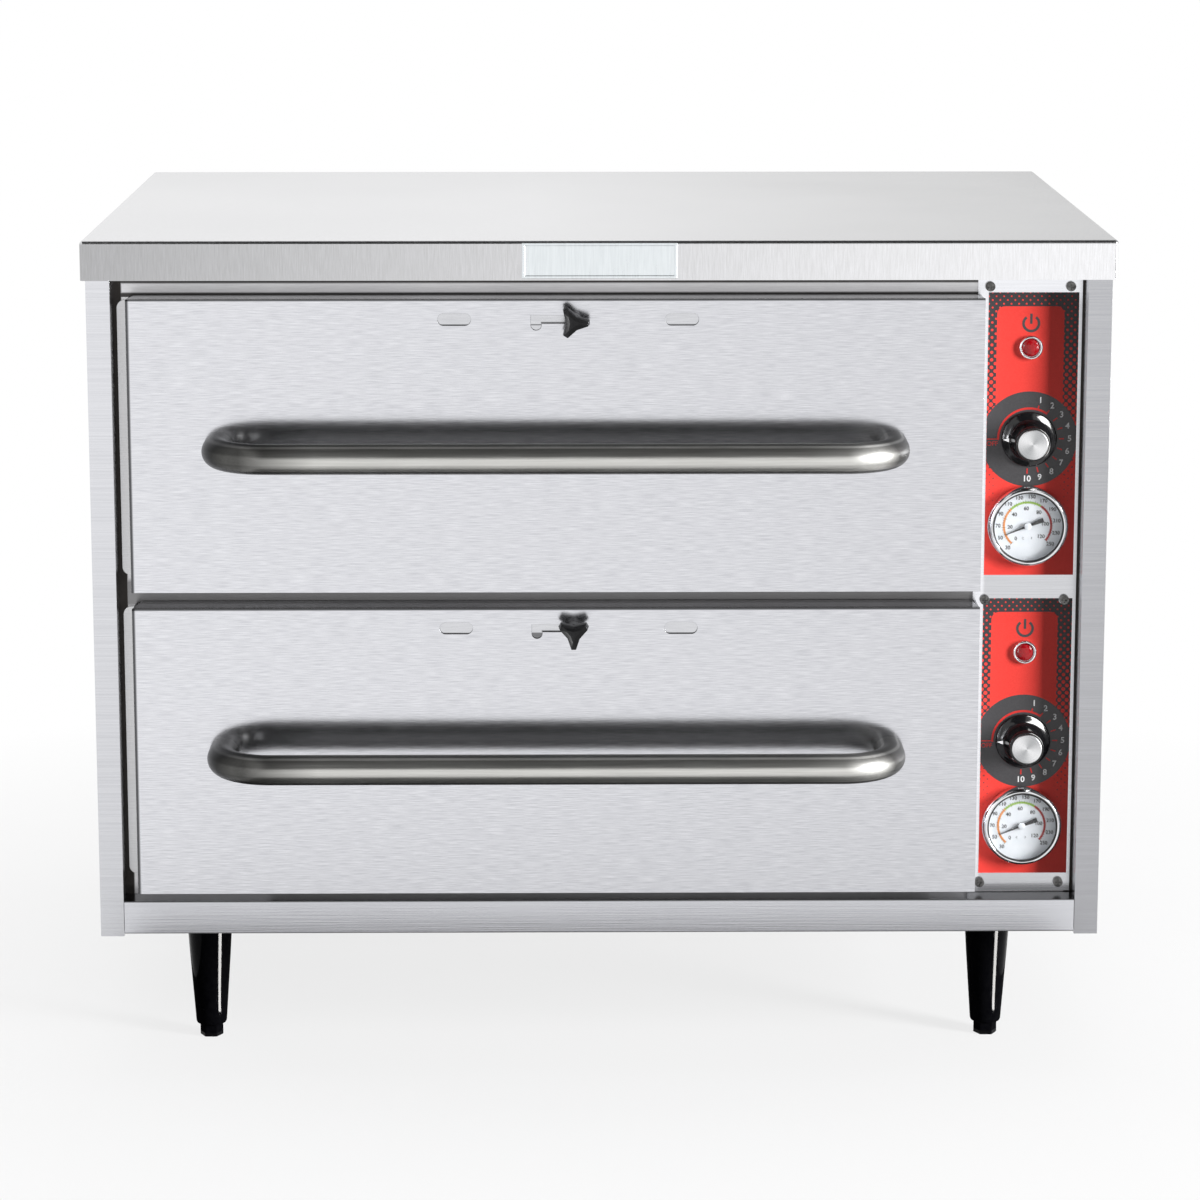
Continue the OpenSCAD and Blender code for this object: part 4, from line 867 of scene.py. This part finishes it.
# %% Helpers: turned pieces and their light
def add_turned(bm, profile, middle, steps=72, axis=(0, 1, 0)):
    """Spins a profile of (radius, distance out), in millimetres: out is towards -Y, or +Z where the axis is Z."""
    out_way = Vector((0, -1, 0)) if axis[1] else Vector((0, 0, 1))
    points = [bm.verts.new(Vector(middle) + Vector((r * MM, 0, 0)) + out_way * out * MM) for r, out in profile]
    edges = [bm.edges.new(pair) for pair in zip(points, points[1:])]
    bmesh.ops.spin(bm, geom=points + edges, cent=middle, axis=axis, angle=2 * math.pi, steps=steps, use_merge=True)
    bmesh.ops.remove_doubles(bm, verts=bm.verts, dist=SAME_SPOT)
    return bm


def light_only(cards, pieces):
    """Lets lit cards shine on a few pieces only."""
    lit = bpy.data.collections.new("lit_" + pieces[0].name)
    for made in pieces:
        lit.objects.link(made)
    for card in cards:
        card.light_linking.receiver_collection = lit


print("turning helpers ready")

# %% Tapered legs
FOOT_HEIGHT = 10
leg_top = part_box("base_pan")[0].z / MM
foot_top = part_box("front_left_foot")[0].z / MM + FOOT_HEIGHT
LEG_PROFILE = [(4.6, foot_top + 4), (4.6, foot_top), (10.2, foot_top), (11.2, foot_top + 0.5),
               (11.75, foot_top + 1.8), (LEG_R - 0.3, leg_top - 2.2), (LEG_R, leg_top - 1), (LEG_R, leg_top),
               (5, leg_top)]
bm = bmesh.new()
for x in leg_xs:
    for y in leg_ys:
        add_turned(bm, LEG_PROFILE, (x, y, 0), 64, (0, 0, 1))
legs = piece("tapered_legs", bm, "cabinet", "gloss_black", ["leg_sleeves"], smooth=50)
light_only(leg_strips, [legs])

# %% [markdown]
# ## Indicator lamps
# A chrome ring with a round shoulder holds a red lens whose face is cut into small facets. The facets are the flat
# triangles of an icosphere that is pressed flat and cut in half.

# %% Lamp rings and lenses
def cut_off(bm, place, way):
    """Cuts a mesh at a plane, drops what lies beyond it and closes the cut."""
    bmesh.ops.bisect_plane(bm, geom=bm.verts[:] + bm.edges[:] + bm.faces[:], dist=SAME_SPOT / 10, plane_co=place,
                           plane_no=way, clear_outer=True)
    bmesh.ops.holes_fill(bm, edges=open_edges(bm), sides=0)


LAMP_RING = [(0, -26), (6, -26), (6, 0), (9, 0), (9, 1.5), (8.9, 2.2), (8.6, 2.9), (8.15, 3.35), (7.7, 3.5),
             (7.3, 3.35), (7.05, 3.0), (7, 2.5), (7, 1), (0, 1)]
LENS_R = 6.9
LENS_OUT = 1.0
LENS_PRESS = 0.45
low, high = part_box("lamp_bezels")
lamp_r = (high.x - low.x) / 2
control_x = (low.x + high.x) / 2
film_y = film_low.y
lamp_z = {"lower": low.z + lamp_r, "upper": high.z - lamp_r}
lens_y = film_y - LENS_OUT * MM
ring_bm = bmesh.new()
lens_bm = bmesh.new()
for level in LEVELS:
    add_turned(ring_bm, LAMP_RING, (control_x, film_y, lamp_z[level]))
    pressed = Matrix.Translation((control_x, lens_y, lamp_z[level])) @ Matrix.Diagonal((1, LENS_PRESS, 1, 1))
    bmesh.ops.create_icosphere(lens_bm, subdivisions=3, radius=LENS_R * MM, matrix=pressed)
cut_off(lens_bm, (0, lens_y, 0), (0, 1, 0))
piece("lamp_rings", ring_bm, "cabinet", "bright_chrome", ["lamp_bezels"], smooth=50)
piece("lamp_jewels", lens_bm, "cabinet", "lens_red", ["lamp_lenses"], smooth=0)

# %% [markdown]
# ## Thermostat knobs
# A gloss black knob has a shallow skirt, a concave rise and a nearly straight grip, with a spun metal disc in its
# end and a white arrow on its skirt that points to OFF. The disc's fine rings are its turning marks; the bright and
# dark sectors that fan out over it are a painted reflection, as a spun disc shows one.

# %% Finish: spun metal disc
low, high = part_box("lower_knob_cap")
tree, shader = new_finish("spun_metal", Metallic=1.0)
x, _, z = object_axes(tree)
beside = calc("SUBTRACT", x, (low.x + high.x) / 2)
above = calc("SUBTRACT", z, (low.z + high.z) / 2)
on_upper = calc("GREATER_THAN", above, level_step / 2)
above = calc("SUBTRACT", above, calc("MULTIPLY", on_upper, level_step))
# Painted reflection: bright and dark sectors fan out round the disc's middle.
painted_fans = calc("COSINE", calc("MULTIPLY_ADD", calc("ARCTAN2", above, beside), 2.0, math.radians(70)))
flat = add_node(tree, "ShaderNodeCombineXYZ", {"X": beside, "Y": above}).outputs[0]
rings = add_node(tree, "ShaderNodeTexNoise", noise_dimensions="1D")
for key, value in (("W", length(flat)), ("Scale", 3500.0), ("Detail", 2.0)):
    feed(rings.inputs[key], value)
rings_and_painted_sheen = calc("MULTIPLY_ADD", painted_fans, 0.35, calc("MULTIPLY", rings.outputs[0], 0.9))
wire(shader, Base_Color=blend(fade(rings_and_painted_sheen, -0.1, 1.0, 0, 1), (0.36, 0.37, 0.38), (0.92, 0.92, 0.93)),
     Roughness=fade(rings.outputs[0], *NOISE_SPAN, 0.18, 0.3))
print("spun metal ready")

# %% Knobs, discs and arrows
def add_block(bm, outline, way):
    """Adds a flat outline, drawn out by a vector."""
    face = bm.faces.new([bm.verts.new(point) for point in outline])
    grown = bmesh.ops.extrude_face_region(bm, geom=[face])["geom"]
    bmesh.ops.translate(bm, vec=way, verts=points_in(grown))


KNOB_PROFILE = [(0, -26), (3, -26), (3, 0.5), (20.2, 0.5), (20.5, 0.8), (20.5, 1.9), (20.25, 2.5), (19.6, 2.95),
                (17.8, 3.8), (16.2, 4.65), (15.1, 5.6), (14.3, 7), (13.8, 9), (13.45, 12), (13.2, 16), (13.0, 20),
                (12.8, 25.2), (12.5, 25.8), (12.0, 26), (11.55, 25.8), (11.55, 25.2), (0, 25.2)]
CAP_PROFILE = [(0, 25.2), (11.25, 25.2), (11.25, 26.3), (10.9, 26.65), (10.4, 26.8), (8, 26.75), (0, 26.6)]
ARROW = [(19.4, 3.0, 0), (15.3, 5.3, 1.4), (15.3, 5.3, -1.4)]
ARROW_LIFT = 0.5
dial_middle = {}
knobs = []
for level, low, high in level_boxes("knob_cap"):
    middle = dial_middle[level] = Vector((control_x, film_y, (low.z + high.z) / 2))
    body = f"{level}_knob"
    bm = add_turned(bmesh.new(), KNOB_PROFILE, middle, 96)
    knobs.append(piece(f"{level}_knob_body", bm, body, "knob_black", [f"{level}_thermostat_knob"],
                       smooth=50))
    bm = add_turned(bmesh.new(), CAP_PROFILE, middle, 96)
    piece(f"{level}_knob_disc", bm, body, "spun_metal", [f"{level}_knob_cap"], smooth=50)
    tips = [middle + Vector((-r, -out, up)) * MM for r, out, up in ARROW]
    slope = (tips[1] - tips[0]).cross(tips[2] - tips[0]).normalized()
    bm = bmesh.new()
    add_block(bm, tips, slope * math.copysign(ARROW_LIFT * MM, -slope.y))
    piece(f"{level}_knob_arrow", bm, body, "arrow_print", smooth=0)
light_only(knob_glints, knobs)

# %% [markdown]
# ## Print on the film
# Thin ink layers lie on the film: a charcoal disc behind each knob, the red arc and ticks, the numbers, the word
# OFF and the power sign. An image could hold them all, but thin meshes stay sharp and need no picture: ring sectors
# are a small square spun through an angle, and figures are text turned into meshes.

# %% Helpers: ring sectors and lettering
INK = 0.06
CAPITAL = 0.7


def around(degrees):
    """The direction at an angle clockwise from the top, seen from the front."""
    turn = math.radians(degrees)
    return Vector((math.sin(turn), 0, math.cos(turn)))


def add_sector(bm, middle, inner, outer, start, sweep, back, front):
    """Adds part of a flat ring: radii and depths in millimetres, degrees clockwise from the top."""
    corners = [middle + (around(start) * r + Vector((0, -out, 0))) * MM
               for r, out in ((inner, back), (outer, back), (outer, front), (inner, front))]
    face = bm.faces.new([bm.verts.new(c) for c in corners])
    steps = max(1, round(abs(sweep) / 4))
    bmesh.ops.spin(bm, geom=[face], cent=middle, axis=(0, 1, 0), angle=math.radians(sweep), steps=steps)


def add_words(bm, words, middle, height, bold=0.0):
    """Adds lettering that faces the front, with its middle, and its capital height in millimetres."""
    text = put(bpy.data.curves.new("words", "FONT"), body=words, align_x="CENTER", align_y="CENTER",
               size=height / CAPITAL * MM, offset=bold * MM, extrude=INK / 2 * MM, resolution_u=3)
    shown = bpy.data.objects.new("words", text)
    scene.collection.objects.link(shown)
    bpy.context.view_layer.update()
    mesh = bpy.data.meshes.new_from_object(shown.evaluated_get(bpy.context.evaluated_depsgraph_get()))
    mesh.transform(Matrix.Translation(middle) @ Matrix.Rotation(math.pi / 2, 4, "X"))
    bm.from_mesh(mesh)
    bpy.data.objects.remove(shown)
    bpy.data.curves.remove(text)
    bpy.data.meshes.remove(mesh)


print("ink layers are", INK, "mm thick")

# %% Dial discs
DISC_R = 35.6
DISC_HOLE = 4.6
DISC_TRIM = 0.1
for level, middle in dial_middle.items():
    disc = [(DISC_HOLE, 0), (DISC_HOLE, INK), (DISC_R, INK), (DISC_R, 0), (DISC_HOLE, 0)]
    bm = add_turned(bmesh.new(), disc, middle, 96)
    for limit, way in ((film_low.x, -1), (film_high.x, 1)):
        cut_off(bm, (limit - way * DISC_TRIM * MM, 0, 0), (way, 0, 0))
    piece(f"{level}_dial_disc", bm, "cabinet", "charcoal_print")

# %% Arcs, ticks and the word OFF
NUMBERS = 10
NUMBER_START = 15.6
NUMBER_STEP = 18.5
ARC_R = 22.9
ARC_HALF = 0.8
ARC_START, ARC_SWEEP = 268, 126
TICK_R = 26.0
TICK_SWEEP = 2.2
OFF_TICK = (31.0, 269.2, 1.6)
OFF_PLACE = (-27.2, -1.5 * INK, -3.6)
OFF_SIZE = (3.4, 0.05)
for level, middle in dial_middle.items():
    bm = bmesh.new()
    add_sector(bm, middle, ARC_R - ARC_HALF, ARC_R + ARC_HALF, ARC_START, ARC_SWEEP, INK, 2 * INK)
    for i in range(NUMBERS):
        start = NUMBER_START + i * NUMBER_STEP - TICK_SWEEP / 2
        add_sector(bm, middle, ARC_R - ARC_HALF, TICK_R, start, TICK_SWEEP, INK, 2.1 * INK)
    add_sector(bm, middle, ARC_R, *OFF_TICK, INK, 2.1 * INK)
    add_words(bm, "OFF", middle + Vector(OFF_PLACE) * MM, *OFF_SIZE)
    piece(f"{level}_dial_marks", bm, "cabinet", "red_print", smooth=0)

# %% Numbers and power signs
NUMBER_R = 30.0
NUMBER_SIZE = (4.4, 0.12)
SIGN_RISE = 86.3
SIGN_RING = (4.75, 6.65)
SIGN_START, SIGN_SWEEP = 37, 286
SIGN_BAR = [(-0.9, -0.3), (0.9, -0.3), (0.9, 7.3), (-0.9, 7.3)]
for level, middle in dial_middle.items():
    bm = bmesh.new()
    for i in range(NUMBERS):
        spot = around(NUMBER_START + i * NUMBER_STEP) * NUMBER_R + Vector((0, -1.5 * INK, 0))
        add_words(bm, str(i + 1), middle + spot * MM, *NUMBER_SIZE)
    piece(f"{level}_dial_numbers", bm, "cabinet", "white_print", smooth=0)

    bm = bmesh.new()
    sign = middle + Vector((0, 0, SIGN_RISE)) * MM
    add_sector(bm, sign, *SIGN_RING, SIGN_START, SIGN_SWEEP, 0, INK)
    add_block(bm, [sign + Vector((x, 0, z)) * MM for x, z in SIGN_BAR], (0, -INK * MM, 0))
    piece(f"{level}_power_sign", bm, "cabinet", "charcoal_print", smooth=0)

# %% [markdown]
# ## Dial gauges
# A bright cup with a rolled rim and a thin black gasket holds a white dial under glass. The CAD cup is plain; a
# spun profile gives the rim its roll, which is what the light picks out.

# %% Gauge cups and gaskets
GAUGE_CUP = [(0, -22), (22.6, -22), (23, -21.6), (23, 0), (29.2, 0), (29.7, 0.4), (30, 1.2), (30, 4.6), (29.8, 6.2),
             (29.3, 7.6), (28.6, 8.7), (27.7, 9.35), (26.9, 9.5), (26.4, 9.2), (26.3, 8.4), (26.3, 8.02),
             (27.8, 8.02), (27.8, 1.5), (0, 1.5)]
GASKET = [(25.2, 8.05), (25.2, 8.5), (25.5, 8.8), (26.25, 8.8), (26.25, 8.05), (25.2, 8.05)]
low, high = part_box("gauge_glasses")
glass_r = (high.x - low.x) / 2
gauge_z = {"lower": low.z + glass_r, "upper": high.z - glass_r}
cup_bm = bmesh.new()
gasket_bm = bmesh.new()
for level in LEVELS:
    add_turned(cup_bm, GAUGE_CUP, (control_x, film_y, gauge_z[level]), 96)
    add_turned(gasket_bm, GASKET, (control_x, film_y, gauge_z[level]), 96)
piece("gauge_cups", cup_bm, "cabinet", "bright_chrome", ["gauge_cases"], smooth=50)
piece("gauge_gaskets", gasket_bm, "cabinet", "satin_black", smooth=50)

# %% [markdown]
# ### Gauge needles
# A needle has a slim point, a broad tail and a white hub, and swings with the pointer's body. Its outlines are
# drawn out flat, turned to their angle and stood up; one outline for both would have to cross itself at the hub.

# %% Gauge needles and hubs
NEEDLE = [(-0.8, 0), (0.8, 0), (0.25, 18), (-0.25, 18)]
TAIL = [(0.7, 0), (-0.7, 0), (-1.8, -12.5), (1.8, -12.5)]
NEEDLE_THICK = 0.6
NEEDLE_OUT = 3.7
POINTER_ANGLE = 248
for level in LEVELS:
    seat = Vector((control_x, film_y, gauge_z[level]))
    hub_out = (film_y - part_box(f"{level}_gauge_pointer")[0].y) / MM
    bm = bmesh.new()
    for outline in NEEDLE, TAIL:
        add_block(bm, [Vector((x, y, 0)) * MM for x, y in outline], (0, 0, NEEDLE_THICK * MM))
    upright = Matrix.Rotation(math.pi / 2, 4, "X") @ Matrix.Rotation(math.radians(-POINTER_ANGLE), 4, "Z")
    bmesh.ops.transform(bm, matrix=upright, verts=bm.verts)
    bmesh.ops.translate(bm, vec=seat + Vector((0, -NEEDLE_OUT * MM, 0)), verts=bm.verts)
    add_turned(bm, [(0, 1.5), (1, 1.5), (1, 3.6), (2.6, 3.6), (2.6, hub_out), (0, hub_out)], seat, 40)
    piece(f"{level}_needle", bm, f"{level}_pointer", "black_print", [f"{level}_gauge_pointer"])
    hub = [(0, hub_out), (2.7, hub_out), (2.7, hub_out + 0.3), (2.4, hub_out + 0.5), (0, hub_out + 0.5)]
    bm = add_turned(bmesh.new(), hub, seat, 40)
    piece(f"{level}_gauge_hub", bm, f"{level}_pointer", "dial_white", smooth=50)

# %% [markdown]
# ### Gauge scales
# The scale is three coloured ring sectors with ticks, and small figures both inside and outside the ring. All of it
# is thin ink on the dial, made with the helpers for the film's print.

# %% Gauge bands
SCALE_R = 17.6
SCALE_START = 221
BAND_HALF = 0.8
BANDS = [("orange", 0, 94), ("green", 94, 172), ("crimson", 172, 268)]
dial_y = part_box("gauge_dials")[0].y
scale_middle = {level: Vector((control_x, dial_y, gauge_z[level])) for level in LEVELS}
for level, middle in scale_middle.items():
    for label, start, end in BANDS:
        bm = bmesh.new()
        add_sector(bm, middle, SCALE_R - BAND_HALF, SCALE_R + BAND_HALF, SCALE_START + start, end - start, 0, INK)
        piece(f"{level}_gauge_{label}_band", bm, "cabinet", f"{label}_print", smooth=0)

# %% Gauge ticks and figures
SCALE_SWEEP = 268
TICKS = 48
GAUGE_TICK = 0.7
LONG_TICK = (1.6, 1.9)
SHORT_TICK = (0.2, 1.3)
FIGURE_ROWS = [(7, 0, 13.0), (12, 30, 22.0)]
FIGURE_STEP = 20
FIGURE_SIZE = (2.7, 0.09)
UNITS = [("C", -3.2), ("F", 3.2)]
UNIT_DROP = 9.6
UNIT_HEIGHT = 1.7
for level, middle in scale_middle.items():
    bm = bmesh.new()
    for i in range(TICKS + 1):
        inwards, outwards = LONG_TICK if i % 4 == 0 else SHORT_TICK
        start = SCALE_START + i * SCALE_SWEEP / TICKS - GAUGE_TICK / 2
        add_sector(bm, middle, SCALE_R - inwards, SCALE_R + outwards, start, GAUGE_TICK, INK, 1.5 * INK)
    for count, first, row_r in FIGURE_ROWS:
        for i in range(count):
            spot = around(SCALE_START + i * SCALE_SWEEP / (count - 1)) * row_r + Vector((0, -INK, 0))
            add_words(bm, str(first + FIGURE_STEP * i), middle + spot * MM, *FIGURE_SIZE)
    for letter, across in UNITS:
        add_words(bm, letter, middle + Vector((across, -INK, -UNIT_DROP)) * MM, UNIT_HEIGHT)
    piece(f"{level}_gauge_figures", bm, "cabinet", "black_print", smooth=0)

# %% [markdown]
# ## Vent knobs
# A small black moulding with three arms. A circle of nine points becomes a star: two points make each arm's blunt
# tip and the third the waist between two arms, which is simpler than joining three arms. The face is drawn forward
# and a little in, its front is sunk for a shallow well, the edges are rounded, and a turned neck joins it to the
# slider.

# %% Three-armed vent knobs
ARM_REACH = 12.2
ARM_HALF = 1.9
ARM_DEPTH = 11
ARM_ROUND = 0.35
FACE_TAPER = (0.9, 0.9, 1)
WELL_TAPER = (0.6, 0.6, 1)
WAIST = 5.7
WELL_RIM = 1.2
WELL_DEPTH = 1.8
KNOB_TURN = {"upper": 0, "lower": 30}
HUB_X = -0.0193
tip_turn = math.atan(ARM_HALF / ARM_REACH)
STAR = ((ARM_REACH, -tip_turn), (ARM_REACH, tip_turn), (WAIST, math.pi / 3))
for level, low, high in level_boxes("vent_knob"):
    stud_low, stud_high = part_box(f"{level}_vent_slider")
    hub_z = (stud_low.z + stud_high.z) / 2
    bm = bmesh.new()
    bmesh.ops.create_circle(bm, cap_ends=True, segments=9, radius=1)
    for i, v in enumerate(bm.verts):
        arm, corner = divmod(i, 3)
        reach, turn = STAR[corner]
        turn += math.radians(KNOB_TURN[level] + 120 * arm)
        v.co = Vector((math.cos(turn), math.sin(turn), 0)) * reach * MM
    grown = bmesh.ops.extrude_face_region(bm, geom=bm.faces[:])["geom"]
    front = [g for g in grown if isinstance(g, bmesh.types.BMFace)]
    rim = points_in(grown)
    bmesh.ops.translate(bm, vec=(0, 0, ARM_DEPTH * MM), verts=rim)
    bmesh.ops.scale(bm, vec=FACE_TAPER, verts=rim)
    bmesh.ops.inset_region(bm, faces=front, thickness=WELL_RIM * MM, depth=0, use_even_offset=True)
    bmesh.ops.translate(bm, vec=(0, 0, -WELL_DEPTH * MM), verts=front[0].verts)
    bmesh.ops.scale(bm, vec=WELL_TAPER, verts=front[0].verts)
    bmesh.ops.recalc_face_normals(bm, faces=bm.faces)
    sharp = [e for e in bm.edges if len(e.link_faces) == 2 and e.calc_face_angle() > math.radians(20)]
    bevel(bm, sharp, ARM_ROUND, 2)
    placed = Matrix.Translation((HUB_X, low.y + ARM_DEPTH * MM, hub_z)) @ Matrix.Rotation(math.pi / 2, 4, "X")
    bmesh.ops.transform(bm, matrix=placed, verts=bm.verts)
    out = (high.y - low.y) / MM - ARM_DEPTH
    neck = [(2.6, 0), (5.2, 0), (5.5, 0.4), (5.5, out - 1.2), (5.9, out), (2.6, out)]
    add_turned(bm, neck, (HUB_X, high.y, hub_z), 40)
    piece(f"{level}_star_knob", bm, f"{level}_vent_grip", "star_black", [f"{level}_vent_knob"])

# %% [markdown]
# ## Food pans
# Each drawer holds a full-size pan, pressed from thin sheet: round corners, walls that taper in towards a filleted
# floor, and a flat rim with a turned-down lip. A cube is rounded, tapered and opened, and its rim is drawn
# outwards.

# %% Pressed food pans
PAN_SHEET = 0.8
PAN_CORNER = 25
PAN_TAPER = (0.955, 0.935, 1)
PAN_FLOOR_R = 14
RIM = 12
RIM_STEPS = ((1.2, 0.0), (RIM - 1.6, 0.0), (0.5, -0.4))
for level, low, high in level_boxes("food_pan"):
    inset = Vector(((RIM + 0.6) * MM, (RIM + 0.6) * MM, 0))
    inner_low, inner_high = low + inset, high - inset
    bm = bmesh.new()
    bmesh.ops.create_cube(bm, size=1)
    bmesh.ops.scale(bm, vec=inner_high - inner_low, verts=bm.verts)
    bevel(bm, [e for e in bm.edges if abs(e.verts[0].co.z - e.verts[1].co.z) > 0.01], PAN_CORNER, 10)
    bmesh.ops.scale(bm, vec=PAN_TAPER, verts=[v for v in bm.verts if v.co.z < 0])
    floor_face = min(bm.faces, key=lambda f: f.calc_center_median().z)
    bevel(bm, list(floor_face.edges), PAN_FLOOR_R, 6)
    top_face = max(bm.faces, key=lambda f: f.calc_center_median().z)
    bmesh.ops.delete(bm, geom=[top_face], context="FACES_ONLY")
    edge = open_edges(bm)
    for grow, drop in RIM_STEPS:
        edge = draw_out(bm, edge, (0, 0, drop * MM))
        rim = list({v for e in edge for v in e.verts})
        reach = max(v.co.x for v in rim), max(v.co.y for v in rim)
        bmesh.ops.scale(bm, vec=[(r + grow * MM) / r for r in reach] + [1], verts=rim)
    bmesh.ops.translate(bm, vec=(inner_low + inner_high) / 2, verts=bm.verts)
    pan = piece(f"{level}_pressed_pan", bm, f"{level}_drawer", "pan_steel", [f"{level}_food_pan"])
    thicken(pan, PAN_SHEET)
